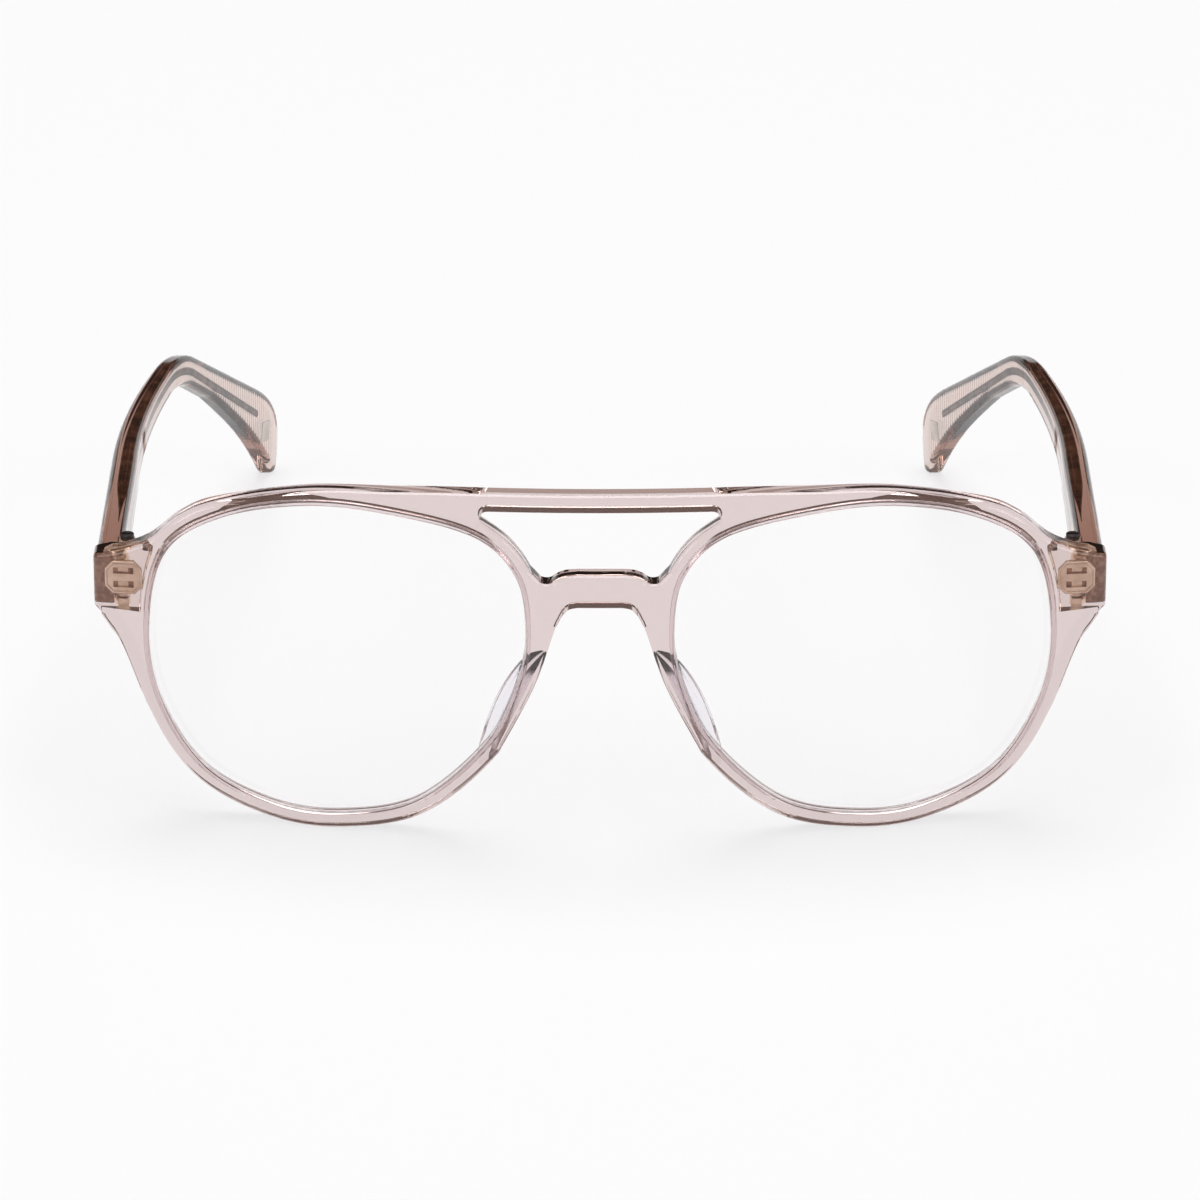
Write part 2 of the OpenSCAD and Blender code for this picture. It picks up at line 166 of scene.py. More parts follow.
def pull(
    bm: bmesh.types.BMesh,
    faces: Iterable[bmesh.types.BMFace],
    way: Sequence[float],
    keep: bool = False,
) -> tuple[list[bmesh.types.BMVert], list[bmesh.types.BMFace]]:
    """Extrudes faces and moves the new ones.

    Args:
        bm: Mesh that holds the faces.
        faces: Faces to extrude.
        way: How far the new faces move.
        keep: Whether the old faces stay, as the far side of a sheet that gets its thickness.

    Returns:
        The new vertices and the new faces at the far end.
    """
    old = list(faces)
    made = bmesh.ops.extrude_face_region(bm, geom=old)["geom"]
    verts = [g for g in made if isinstance(g, bmesh.types.BMVert)]
    bmesh.ops.translate(bm, vec=way, verts=verts)
    if not keep:
        bmesh.ops.delete(bm, geom=old, context="FACES")
    return verts, [g for g in made if isinstance(g, bmesh.types.BMFace)]


def plate(loops: Iterable[Sequence[Vector]], thickness: float) -> bmesh.types.BMesh:
    """Flat plate of filled outlines, from y = 0 back to its thickness."""
    bm = bmesh.new()
    pull(bm, fill(bm, loops), (0, thickness, 0), keep=True)
    bmesh.ops.recalc_face_normals(bm, faces=bm.faces[:])
    return bm


def cut(
    bm: bmesh.types.BMesh, place: Sequence[float], way: Sequence[float], clear: bool = False
) -> None:
    """Cuts every face along a plane.

    Args:
        bm: Mesh to cut.
        place: Point on the plane.
        way: Direction that the plane faces.
        clear: Whether the side behind the plane is taken away.
    """
    bmesh.ops.bisect_plane(
        bm,
        geom=bm.verts[:] + bm.edges[:] + bm.faces[:],
        dist=WELD,
        plane_co=place,
        plane_no=way,
        clear_inner=clear,
    )


def slices(bm: bmesh.types.BMesh, axis: int, low: float, high: float, pitch: float) -> None:
    """Cuts a mesh into even slices, so that it can take a curve.

    Args:
        bm: Mesh to cut.
        axis: Axis that the slices follow.
        low: Where they start.
        high: Where they end.
        pitch: Width of a slice.
    """
    way = Vector((axis == 0, axis == 1, axis == 2))
    for i in range(math.floor((high - low) / pitch) + 1):
        cut(bm, way * (low + i * pitch), way)


def bevel(
    bm: bmesh.types.BMesh, edges: Sequence[bmesh.types.BMEdge], radius: float, rings: int
) -> None:
    """Rounds edges by a radius, with a number of faces across the rounding."""
    bmesh.ops.bevel(
        bm, geom=edges, offset=radius, affect="EDGES", segments=rings, profile=0.5, material=-1
    )


def soften(
    bm: bmesh.types.BMesh,
    radius: float,
    rings: int,
    wanted: Callable[[Vector, Vector], bool] = lambda a, b: True,
    least: float = 40,
) -> None:
    """Rounds the outer edges of a mesh.

    Args:
        bm: Mesh to round.
        radius: How far the rounding reaches from the edge.
        rings: Number of faces across it.
        wanted: Whether an edge between two points is rounded.
        least: Smallest angle, in degrees, between the faces of such an edge.
    """
    edges = [
        e
        for e in bm.edges
        if len(e.link_faces) == 2
        and e.calc_face_angle_signed(0) > math.radians(least)
        and wanted(e.verts[0].co, e.verts[1].co)
    ]
    bevel(bm, edges, radius, rings)


def carry(bm: bmesh.types.BMesh, place: Callable[[Vector], Sequence[float]]) -> None:
    """Moves each vertex of a flat mesh to its place on the object."""
    for vert in bm.verts:
        vert.co = place(vert.co.copy())


def steady_normals(mesh: bpy.types.Mesh, crease: float) -> None:
    """Sets corner normals so that flat and gently curved faces shade as true ones.

    A face much larger than the rounding beside it gives its own direction to their shared edge, so
    that the rounding takes the whole turn and clear faces refract cleanly.

    Args:
        mesh: The mesh.
        crease: Angle in degrees past which two faces don't share a normal.
    """
    same_plane, far_larger = 8, 3  # degrees between two faces, and times the other's area
    apart, alike = (math.cos(math.radians(a)) for a in (crease, same_plane))
    ways = [face.normal.copy() for face in mesh.polygons]
    areas = [face.area for face in mesh.polygons]
    around: list[list[int]] = [[] for _ in mesh.vertices]
    for face in mesh.polygons:
        for vert in face.vertices:
            around[vert].append(face.index)
    corners = []
    for face in mesh.polygons:
        for vert in face.vertices:
            near = [i for i in around[vert] if ways[i].dot(ways[face.index]) > apart]
            large = max(near or [face.index], key=lambda i: areas[i])
            flat = [i for i in near if ways[i].dot(ways[large]) > alike]
            others = [areas[i] for i in near if i not in flat]
            if others and areas[large] > far_larger * max(others):
                near = flat
            way = sum((ways[i] * areas[i] for i in near), Vector((0, 0, 0)))
            corners.append(way.normalized() if way.length > 0 else ways[face.index])
    mesh.normals_split_custom_set(corners)


def finish_piece(
    bm: bmesh.types.BMesh,
    name: str,
    material: bpy.types.Material,
    body: str,
    node: str,
    side: Side = Side.LEFT,
    crease: float = 35,
) -> bpy.types.Object:
    """Turns a mesh in millimetres into a finished piece on its body.

    Args:
        bm: The mesh, which is freed.
        name: Name of the piece.
        material: Its material.
        body: Body that it rides on.
        node: CAD node that it stands for.
        side: Side that it belongs to; the right one turns the mesh over.
        crease: Angle in degrees past which an edge stays crisp.

    Returns:
        The new object.
    """
    if side is Side.RIGHT:
        bmesh.ops.scale(bm, vec=(-1, 1, 1), verts=bm.verts[:])
    bmesh.ops.scale(bm, vec=(MM, MM, MM), verts=bm.verts[:])
    bmesh.ops.dissolve_degenerate(bm, dist=WELD * MM, edges=bm.edges[:])
    bmesh.ops.recalc_face_normals(bm, faces=bm.faces[:])
    mesh = bpy.data.meshes.new(name)
    bm.to_mesh(mesh)
    bm.free()
    mesh.shade_smooth()
    steady_normals(mesh, crease)
    piece = bpy.data.objects.new(name, mesh)
    bpy.context.scene.collection.objects.link(piece)
    piece.data.materials.append(material)
    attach(piece, body)
    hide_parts(node)
    LOG.info("%s: %d faces on %s", name, len(mesh.polygons), body)
    return piece


# ---------------------------------------------------------------- finishes


def linear(code: str) -> tuple[float, float, float, float]:
    """Linear colour of an sRGB hex value such as "#E0D5D5".

    Args:
        code: The hex value.

    Returns:
        Red, green, blue and an alpha of 1.
    """
    parts = [int(code[i : i + 2], 16) / 255 for i in (1, 3, 5)]
    red, green, blue = (c / 12.92 if c <= 0.04045 else ((c + 0.055) / 1.055) ** 2.4 for c in parts)
    return red, green, blue, 1.0


def add_node(
    tree: bpy.types.NodeTree,
    kind: str,
    inputs: dict[str | int, Any] | None = None,
    **settings: Any,
) -> bpy.types.Node:
    """Adds a node to a tree.

    Args:
        tree: Tree that takes the node.
        kind: Blender's name for the kind of node.
        inputs: Value or output socket for each input, by its name or number.
        settings: Properties of the node.

    Returns:
        The new node.
    """
    node = tree.nodes.new(kind)
    for name, value in settings.items():
        setattr(node, name, value)
    for name, value in (inputs or {}).items():
        if isinstance(value, bpy.types.NodeSocket):
            tree.links.new(value, node.inputs[name])
        else:
            node.inputs[name].default_value = value
    return node


def new_material(name: str) -> tuple[bpy.types.Material, bpy.types.NodeTree]:
    """An empty node material and its tree."""
    material = bpy.data.materials.new(name)
    material.use_nodes = True
    material.node_tree.nodes.clear()
    return material, material.node_tree


def mottled(
    tree: bpy.types.NodeTree,
    spot: bpy.types.NodeSocket,
    cloud: float,
    detail: float,
    tones: Sequence[tuple[float, str]],
) -> tuple[bpy.types.NodeSocket, bpy.types.NodeSocket]:
    """Adds clouds to a material, with the tones that they run between.

    Args:
        tree: Tree of the material.
        spot: Where on the object each point lies.
        cloud: Width of the clouds, in millimetres.
        detail: How finely they are broken up.
        tones: Height in the clouds and sRGB tone there, for the low tone and the high one.

    Returns:
        The height of the clouds and their colour.
    """
    clouds = add_node(
        tree, "ShaderNodeTexNoise", {"Vector": spot, "Scale": 1 / (cloud * MM), "Detail": detail}
    ).outputs["Fac"]
    ramp = add_node(tree, "ShaderNodeValToRGB", {"Fac": clouds})
    for element, (height, code) in zip(ramp.color_ramp.elements, tones):
        element.position, element.color = height, linear(code)
    return clouds, ramp.outputs["Color"]


@dataclass(frozen=True)
class ClearPlastic:
    """Clear plastic with polished faces, whose tint deepens with the way through it."""

    name: str
    through: str  # colour that is left after a stretch of the plastic
    stretch: float  # that stretch, in millimetres
    ior: float
    roughness: float
    wave: float  # width of the soft waves that hand polishing leaves, in millimetres
    wave_depth: float  # their height, in millimetres
    hairline: float = 0.12  # spacing of the finest wiping marks, in millimetres
    hairline_depth: float = 0.0
    tint: str = "#FFFFFF"  # colour that its polished skin adds, whatever the way through it
    line_pitch: float = 0.0  # spacing of the upright milling lines on a temple tip, in millimetres
    line_from: float = 0.0  # how far back those lines start
    line_fade: float = 5.0  # stretch over which they come in
    line_depth: float = 0.006

    def material(self) -> bpy.types.Material:
        """Builds the material.

        Returns:
            The node material.
        """
        material, tree = new_material(self.name)
        spot = add_node(tree, "ShaderNodeTexCoord").outputs["Object"]
        below: dict[str, Any] = {}
        for width, detail, broken, depth in (
            (self.wave, 1.5, 0.4, self.wave_depth),
            (self.hairline, 3.0, 0.5, self.hairline_depth),
        ):
            if depth:
                marks = add_node(
                    tree,
                    "ShaderNodeTexNoise",
                    {
                        "Vector": spot,
                        "Scale": 1 / (width * MM),
                        "Detail": detail,
                        "Roughness": broken,
                    },
                )
                height = {"Height": marks.outputs["Fac"], "Distance": depth * MM}
                relief = add_node(tree, "ShaderNodeBump", {**height, **below})
                below = {"Normal": relief.outputs["Normal"]}
        if self.line_pitch:
            place = add_node(tree, "ShaderNodeSeparateXYZ", {"Vector": spot}).outputs["Y"]
            # At a scale of 1 a band of this texture is tau / 20 wide
            lines = add_node(
                tree,
                "ShaderNodeTexWave",
                {
                    "Vector": spot,
                    "Scale": math.tau / 20 / (self.line_pitch * MM),
                    "Distortion": 0.0,
                },
                bands_direction="Y",
            )
            shown = add_node(
                tree,
                "ShaderNodeMapRange",
                {
                    "Value": place,
                    "From Min": self.line_from * MM,
                    "From Max": (self.line_from + self.line_fade) * MM,
                },
            )
            relief = add_node(
                tree,
                "ShaderNodeBump",
                {
                    "Height": lines.outputs["Fac"],
                    "Distance": self.line_depth * MM,
                    "Strength": shown.outputs["Result"],
                    **below,
                },
            )
        shader = add_node(
            tree,
            "ShaderNodeBsdfPrincipled",
            {
                "Base Color": linear(self.tint),
                "Roughness": self.roughness,
                "IOR": self.ior,
                "Transmission Weight": 1.0,
                "Normal": relief.outputs["Normal"],
            },
        )
        # What is taken out of each colour per metre, as one density and its colour
        taken = [-math.log(c) / (self.stretch * MM) for c in linear(self.through)[:3]]
        density = 1.02 * max(taken)  # a little above the most, so that no share falls to 0
        depth = add_node(
            tree,
            "ShaderNodeVolumeAbsorption",
            {"Color": (*[1 - t / density for t in taken], 1.0), "Density": density},
        )
        add_node(
            tree,
            "ShaderNodeOutputMaterial",
            {"Surface": shader.outputs["BSDF"], "Volume": depth.outputs["Volume"]},
        )
        return material


@dataclass(frozen=True)
class FiledPlastic:
    """Plastic with a filed face, cloudy where the file bit deeper."""

    name: str
    pale: str
    deep: str
    roughness: float
    cloud: float  # width of the clouds, in millimetres
    bite: float  # depth of the file's marks, in millimetres
    ior: float = 1.49

    def material(self) -> bpy.types.Material:
        """Builds the material.

        Returns:
            The node material.
        """
        material, tree = new_material(self.name)
        spot = add_node(tree, "ShaderNodeTexCoord").outputs["Object"]
        tones = ((0.4, self.deep), (0.6, self.pale))
        clouds, colour = mottled(tree, spot, self.cloud, 4.0, tones)
        relief = add_node(tree, "ShaderNodeBump", {"Height": clouds, "Distance": self.bite * MM})
        shader = add_node(
            tree,
            "ShaderNodeBsdfPrincipled",
            {
                "Base Color": colour,
                "Roughness": self.roughness,
                "IOR": self.ior,
                "Normal": relief.outputs["Normal"],
            },
        )
        add_node(tree, "ShaderNodeOutputMaterial", {"Surface": shader.outputs["BSDF"]})
        return material


@dataclass(frozen=True)
class WorkedMetal:
    """Metal with the fine lines of its working and darker clouds at random; a darker copy of it
    paints shade into the hinge's slots.
    """

    name: str
    bright: str
    dull: str
    roughness: float
    grain: float  # spacing of the lines, in millimetres
    grain_depth: float
    blotch: float  # width of the cloudy films, in millimetres
    stretch: tuple[float, float, float] = (1.0, 1.0, 12.0)  # how much finer the lines run by axis

    def material(self) -> bpy.types.Material:
        """Builds the material.

        Returns:
            The node material.
        """
        material, tree = new_material(self.name)
        spot = add_node(tree, "ShaderNodeTexCoord").outputs["Object"]
        tones = ((0.35, self.dull), (0.62, self.bright))
        colour = mottled(tree, spot, self.blotch, 3.0, tones)[1]
        drawn = add_node(tree, "ShaderNodeMapping", {"Vector": spot, "Scale": self.stretch})
        scale = 1 / (self.grain * MM * max(self.stretch))
        lines = add_node(
            tree,
            "ShaderNodeTexNoise",
            {"Vector": drawn.outputs["Vector"], "Scale": scale, "Detail": 2.0},
        ).outputs["Fac"]
        gloss = add_node(
            tree,
            "ShaderNodeMapRange",
            {"Value": lines, "To Min": self.roughness * 0.75, "To Max": self.roughness * 1.3},
        )
        relief = add_node(
            tree, "ShaderNodeBump", {"Height": lines, "Distance": self.grain_depth * MM}
        )
        shader = add_node(
            tree,
            "ShaderNodeBsdfPrincipled",
            {
                "Base Color": colour,
                "Metallic": 1.0,
                "Roughness": gloss.outputs["Result"],
                "Normal": relief.outputs["Normal"],
            },
        )
        add_node(tree, "ShaderNodeOutputMaterial", {"Surface": shader.outputs["BSDF"]})
        return material


# Cellulose acetate sheet, milled and tumbled to a high polish: a faint blush face on, and a warm
# brown where light runs a long way inside it
ACETATE = ClearPlastic(
    "tumbled_blush_acetate",
    through="#F2ECE9",
    stretch=3.0,
    ior=1.49,
    roughness=0.0,
    wave=9.0,
    wave_depth=0.02,
    hairline=0.25,
    hairline_depth=0.0004,
    tint="#EFE6E8",
)
# The same acetate from a deeper sheet, bent warm round its wire: rosy brown along its length, with
# faint milling lines across the tip
TEMPLE_ACETATE = replace(
    ACETATE,
    name="bent_blush_acetate",
    through="#E0CFC8",
    tint="#FFFFFF",
    line_pitch=1.1,
    line_from=32.0,
)
# Its sawn butt behind the hinge, filed and left matt: a mottled light brown
SAWN = FiledPlastic(
    "sawn_acetate_butt", pale="#F2D2B8", deep="#C49C84", roughness=0.5, cloud=0.9, bite=0.02
)
# Polycarbonate lens, cast and hard coated: clear, with only its edge showing
LENS = ClearPlastic(
    "hard_coated_polycarbonate", "#FCFCFC", 3.0, ior=1.5, roughness=0.0, wave=30.0, wave_depth=0.004
)
# Clear acetate pad, cut and tumbled: paler than the front and softer at its edges
PAD = ClearPlastic(
    "tumbled_clear_acetate", "#F3F0F6", 3.0, ior=1.47, roughness=0.1, wave=5.0, wave_depth=0.01
)
# Nickel silver hinge, stamped and barrelled: pale warm gold with a soft sheen
HINGE = WorkedMetal(
    "barrelled_nickel_silver",
    bright="#FFF0DC",
    dull="#EBD8C2",
    roughness=0.3,
    grain=0.05,
    grain_depth=0.0008,
    blotch=1.6,
)
# The same metal in the hinge's slots, darkened to a dull brown: painted shade for the slots'
# recesses
SHADED_SLOT_FLOOR = replace(
    HINGE,
    name="nickel_silver_painted_slot_shade",
    bright="#B79478",
    dull="#8C6A54",
    grain=0.08,
    grain_depth=0.003,
    blotch=0.8,
)
# Steel screw, turned and blackened: a dark head with a thin bright rim
SCREW = WorkedMetal(
    "blackened_turned_steel",
    bright="#5A5456",
    dull="#2C2729",
    roughness=0.35,
    grain=0.1,
    grain_depth=0.003,
    blotch=1.2,
)
# Nickel silver core wire, drawn and left unpolished, with lines along it; its dark brown is painted
# shade for its place inside the temple
CORE = WorkedMetal(
    "nickel_silver_painted_core_shade",
    bright="#96745A",
    dull="#523C2E",
    roughness=0.3,
    grain=0.1,
    grain_depth=0.002,
    blotch=3.0,
    stretch=(6.0, 1.0, 6.0),
)
# Stainless inlay, blanked and brushed: pale grey with fine lines
INLAY = WorkedMetal(
    "brushed_stainless",
    bright="#CFC6BE",
    dull="#BDB2AA",
    roughness=0.35,
    grain=0.06,
    grain_depth=0.002,
    blotch=2.5,
    stretch=(1.0, 1.0, 10.0),
)


# ---------------------------------------------------------------- the front


@dataclass
class Front:
    """The front: two rims, a brow bar, a bridge and the end pieces, all on one ball."""

    lens_w: float = 54.4
    lens_h: float = 48.5
    lens_gap: float = 21.2
    lens_t: float = 1.8
    tongue_t: float = 0.9
    tongue_h: float = 0.7
    lens_fit: float = 0.03
    ball_r: float = 230.0
    thickness: float = 3.3
    rim_w: float = 2.25
    bar_h: float = 2.35
    bar_rise: float = 2.7
    bar_flat: float = 16.6
    gap_half: float = 17.2
    gap_corner: float = 1.3
    bridge_h: float = 4.7
    bridge_rise: float = 15.05
    bridge_flat: float = 3.2
    end_w: float = 8.0
    end_h: float = 8.7
    hinge_rise: float = 9.3
    end_t: float = 3.6
    end_corner: float = 0.9
    block_in: float = 1.0
    lens_z: float = 26.6614
    middle_y: float = 70.0405
    face_round: float = 0.45  # rounding of the edges on the face
    brow_round: float = 0.85  # the same along the brow, round the end pieces and in the gap
    back_round: float = 0.25
    gap_round: float = 0.12  # the crisper edges in the gap, under the bridge and the end pieces
    butt_round: float = 0.16
    block_step: float = 3.0  # depth of an end block while the mesh is still flat
    block_over: float = 0.4  # how far an end block reaches above and below its end piece
    crisp_drop: float = 1.5  # how far below the brow bar the gap's edges stay crisp
    lens_round: float = 0.08
    bend_pitch: float = 3.0  # width of the slices that let the flat front take its curve
    lens_pitch: float = 2.0  # the same for a lens
    shape: tuple[tuple[float, float], ...] = (
        (-1, 0.25),
        (-0.95, 0.6),
        (-0.735, 0.845),
        (-0.3, 0.965),
        (0.14, 0.99),
        (0.59, 0.875),
        (0.9, 0.62),
        (1, 0.14),
        (0.945, -0.33),
        (0.72, -0.755),
        (0.36, -0.965),
        (0, -1),
        (-0.42, -0.875),
        (-0.79, -0.47),
        (-0.955, -0.06),
    )

    def __post_init__(self) -> None:
        """Works out the places that the pieces share."""
        self.lens_x = self.lens_gap / 2 + self.lens_w / 2
        self.top_z = self.lens_z + self.lens_h / 2 + self.bar_rise
        self.bar_low = self.top_z - self.bar_h
        self.bridge_top = self.lens_z + self.bridge_rise
        self.bridge_low = self.bridge_top - self.bridge_h
        self.hinge_z = self.lens_z + self.hinge_rise
        self.end_x = self.lens_x + self.lens_w / 2 + self.end_w
        self.end_top = self.hinge_z + self.end_h / 2
        self.end_low = self.hinge_z - self.end_h / 2
        self.block_ends = (self.end_top + self.block_over, self.end_low - self.block_over)
        self.butt_y = self.on_ball(self.end_x, self.hinge_z, 0) + self.end_t

    def on_ball(self, x: float, z: float, depth: float) -> float:
        """How far back the front lies at a place, at a depth inside it."""
        rise = z - self.lens_z
        return self.ball_r - math.sqrt((self.ball_r - depth) ** 2 - x * x - rise * rise)

    def centred(self, p: Vector) -> Vector:
        """Place of a point once the frame's middle lies at y = 0."""
        return Vector((p.x, p.y - self.middle_y, p.z))

    def rim(self, t: float, w: float) -> Vector:
        """Point beside the left lens opening.

        Args:
            t: Place round the opening, in steps of its shape's points.
            w: Distance outside the opening.

        Returns:
            The point in x and z.
        """
        size = (self.lens_w / 2, self.lens_h / 2)
        n, i = len(self.shape), math.floor(t)
        keys = [
            Vector((self.shape[(i + k) % n][0] * size[0], self.shape[(i + k) % n][1] * size[1]))
            for k in (-1, 0, 1, 2)
        ]
        here = blend(*keys, t - i)
        step = 0.01
        way = blend(*keys, t - i + step) - blend(*keys, t - i - step)
        return Vector((self.lens_x, self.lens_z)) + here + w * Vector((-way.y, way.x)).normalized()

    def opening(self, w: float, steps: int = 30) -> list[Vector]:
        """The left lens opening's outline, drawn wider by w."""
        return [self.rim(i / steps, w) for i in range(len(self.shape) * steps)]

    def half_outline(self) -> list[Vector]:
        """Outer outline of the left half, from the brow bar round to the bridge."""
        brow = open_curve(
            [
                (self.bar_flat, self.top_z),
                (self.bar_flat + 5.5, self.top_z - 0.03),
                (self.lens_x - 8.5, self.top_z - 0.25),
                self.rim(4, self.rim_w - 0.15),
                self.rim(5, self.rim_w),
                self.rim(5.5, self.rim_w + 0.2),
                (self.end_x - 8.6, self.end_top + 3.2),
                (self.end_x - 5, self.end_top + 1.25),
                (self.end_x - 1.6, self.end_top + 0.15),
            ],
            9,
        )
        corner = self.end_x - self.end_corner
        side = arc((corner, self.end_top - self.end_corner), self.end_corner, 80, 0, 8)
        side += arc((corner, self.end_low + self.end_corner), self.end_corner, 0, -45, 6)
        under = open_curve(
            [
                (self.end_x - 0.9, self.end_low - 0.35),
                (self.end_x - 2.2, self.end_low - 2.2),
                (self.end_x - 4.1, self.end_low - 5.2),
                self.rim(8, self.rim_w + 0.15),
            ],
            8,
        )
        low = [self.rim(8 + i / 12, self.rim_w) for i in range(4, 59)]
        nose = open_curve(
            [
                self.rim(13, self.rim_w),
                self.rim(14, self.rim_w + 0.25),
                self.rim(15, 3.9),
                (self.bridge_flat + 2.8, self.bridge_low - 2.5),
                (self.bridge_flat + 2.1, self.bridge_low - 1.15),
                (self.bridge_flat + 1.2, self.bridge_low - 0.3),
                (self.bridge_flat, self.bridge_low),
            ],
            9,
        )
        return brow + side + under + low + nose

    def half_gap(self) -> list[Vector]:
        """Outline of the left half of the gap between the brow bar and the bridge."""
        corner = (self.gap_half - self.gap_corner, self.bar_low - self.gap_corner)
        rim = [self.rim(i / 12, self.rim_w) for i in range(22, 11, -1)]
        notch = [(5.7, -0.6), (5.25, -1.1), (4.7, -1.3), (4.1, -1.3), (3.6, -1.1), (2.9, -0.6)]
        notch += [(1.7, -0.15), (0, 0)]
        keys = [(self.bridge_flat + x, self.bridge_top + z) for x, z in notch]
        return arc(corner, self.gap_corner, 90, -20, 9) + rim + open_curve(keys, 4)

    def block_inner(self) -> list[Vector]:
        """Line inside the front that closes its thick end block, from its top down."""
        high, low = self.block_ends
        line = [p for p in self.opening(self.block_in) if low < p.y < high and p.x > self.lens_x]
        line.sort(key=lambda p: -p.y)
        return [Vector((line[0].x, high)), *line[1:-1], Vector((line[-1].x, low))]

    def split_outline(self) -> tuple[list[Vector], list[Vector], list[Vector]]:
        """Splits the left half outline where the thick end block begins and ends.

        Returns:
            The outline before the block, along it, and after it.
        """
        outer = self.lens_x + 18  # past this, the outline is on the end piece's side of the rim
        parts: list[list[Vector]] = [[]]
        half = self.half_outline()
        for here, after in zip(half, [*half[1:], half[0]]):
            parts[-1].append(here)
            if len(parts) > len(self.block_ends):
                continue
            z = self.block_ends[len(parts) - 1]
            if here.y > z >= after.y and here.x > outer:
                joint = here.lerp(after, (here.y - z) / (here.y - after.y))
                parts[-1].append(joint)
                parts.append([joint])
        return parts[0], parts[1], parts[2]

    def front_mesh(self) -> bmesh.types.BMesh:
        """Builds the acetate of the front.

        Returns:
            The mesh, in millimetres.
        """
        before, along, after = self.split_outline()
        inner, gap, opening = self.block_inner(), self.half_gap(), self.opening(0)
        thin, block = [*before, *inner, *after], [*along, *reversed(inner)]
        bm = bmesh.new()
        fill(bm, [thin + flip(thin), gap + flip(gap), opening, flip(opening)])
        for outline in (block, flip(block)):
            for face in fill(bm, [outline]):
                face.material_index = 1
        bmesh.ops.remove_doubles(bm, dist=WELD, verts=bm.verts[:])
        pull(bm, bm.faces[:], (0, self.thickness, 0), keep=True)
        bmesh.ops.recalc_face_normals(bm, faces=bm.faces[:])
        self.add_grooves(bm)
        ends = [f for f in bm.faces if f.material_index == 1 and f.normal.y > 0.9]
        pull(bm, ends, (0, self.block_step, 0))
        bmesh.ops.recalc_face_normals(bm, faces=bm.faces[:])
        for face in bm.faces:
            face.material_index = 0
        back = self.thickness + self.block_step
        below = [p for p in gap if p.y < self.bar_low - self.crisp_drop]
        wide = {(round(p.x, 2), round(p.y, 2)) for p in [*before, *along, *below]}

        def on_face(a: Vector, b: Vector) -> bool:
            """Whether an edge lies on the face."""
            return max(a.y, b.y) < NEAR

        def on_wide(a: Vector, b: Vector) -> bool:
            """Whether an edge of the face gets the wide rounding, on either side."""
            ends = {(round(abs(p.x), 2), round(p.z, 2)) for p in (a, b)}
            return on_face(a, b) and ends <= wide

        soften(bm, self.brow_round, 6, on_wide)
        soften(bm, self.gap_round, 3, lambda a, b: on_face(a, b) and self.crisp((a + b) / 2))
        soften(bm, self.face_round, 5, on_face)
        soften(bm, self.back_round, 4, lambda a, b: abs((a.y + b.y) / 2 - self.thickness) < NEAR)
        soften(bm, self.butt_round, 2, lambda a, b: min(a.y, b.y) > back - NEAR)
        # From one end piece to the other, and from the rims' feet to the brow
        slices(bm, 0, -72, 72, self.bend_pitch)
        slices(bm, 2, 3, 51, self.bend_pitch)
        carry(bm, self.bent)
        return bm

    def crisp(self, p: Vector) -> bool:
        """Whether an edge's place is in the gap's upper side, under the bridge or an end piece."""
        x, z = abs(p.x), p.z
        bar = x < self.gap_half + 0.3 and self.bar_low - self.crisp_drop < z < self.bar_low + 0.1
        nose = x < self.bridge_flat + 3 and self.bridge_low - 3 < z < self.bridge_low + 0.1
        end_in = self.lens_x + self.lens_w / 2 + 0.4
        end = x > end_in and self.end_low - 12 < z < self.end_low - 0.2
        return bar or nose or end

    def bent(self, p: Vector) -> Vector:
        """Place on the ball of a point of the flat mesh; past its thickness lies an end block."""
        y = self.on_ball(p.x, p.z, min(p.y, self.thickness))
        y += (self.butt_y - y) * max(0.0, p.y - self.thickness) / self.block_step
        return Vector((p.x, y - self.middle_y, p.z))

    def add_grooves(self, bm: bmesh.types.BMesh) -> None:
        """Cuts the groove that holds each lens into the walls of the openings."""
        start = (self.thickness - self.tongue_t) / 2 - self.lens_fit
        end = start + self.tongue_t + 2 * self.lens_fit
        for y in (start, end):
            cut(bm, (0, y, 0), (0, 1, 0))
        reach = self.tongue_h + self.lens_fit
        for sign in (-1, 1):
            self.widen(bm, start, end, 0, reach, sign)

    def widen(
        self, bm: bmesh.types.BMesh, start: float, end: float, at: float, reach: float, sign: int
    ) -> None:
        """Moves a band of a lens outline's wall outwards, as a groove or a tongue.

        Args:
            bm: The flat mesh.
            start: Depth where the band starts.
            end: Depth where it ends.
            at: How much wider than the opening the wall was drawn.
            reach: How far the band moves.
            sign: Side of the lens, as the sign of its x.
        """
        steps = len(self.opening(0))
        ways = {}
        for i in range(steps):
            t = i * len(self.shape) / steps
            here, out = self.rim(t, at), self.rim(t, at + reach)
            spot = (round(sign * here.x, 2), round(here.y, 2))
            ways[spot] = (sign * (out.x - here.x), out.y - here.y)

        def key(vert: bmesh.types.BMVert) -> tuple[float, float]:
            """A vertex's place in x and z, to look its way up by."""
            return round(vert.co.x, 2), round(vert.co.z, 2)

        band = [
            f
            for f in bm.faces
            if all(key(v) in ways and start - NEAR < v.co.y < end + NEAR for v in f.verts)
        ]
        for vert in pull(bm, band, (0, 0, 0))[0]:
            x, z = ways[key(vert)]
            vert.co += Vector((x, 0, z))

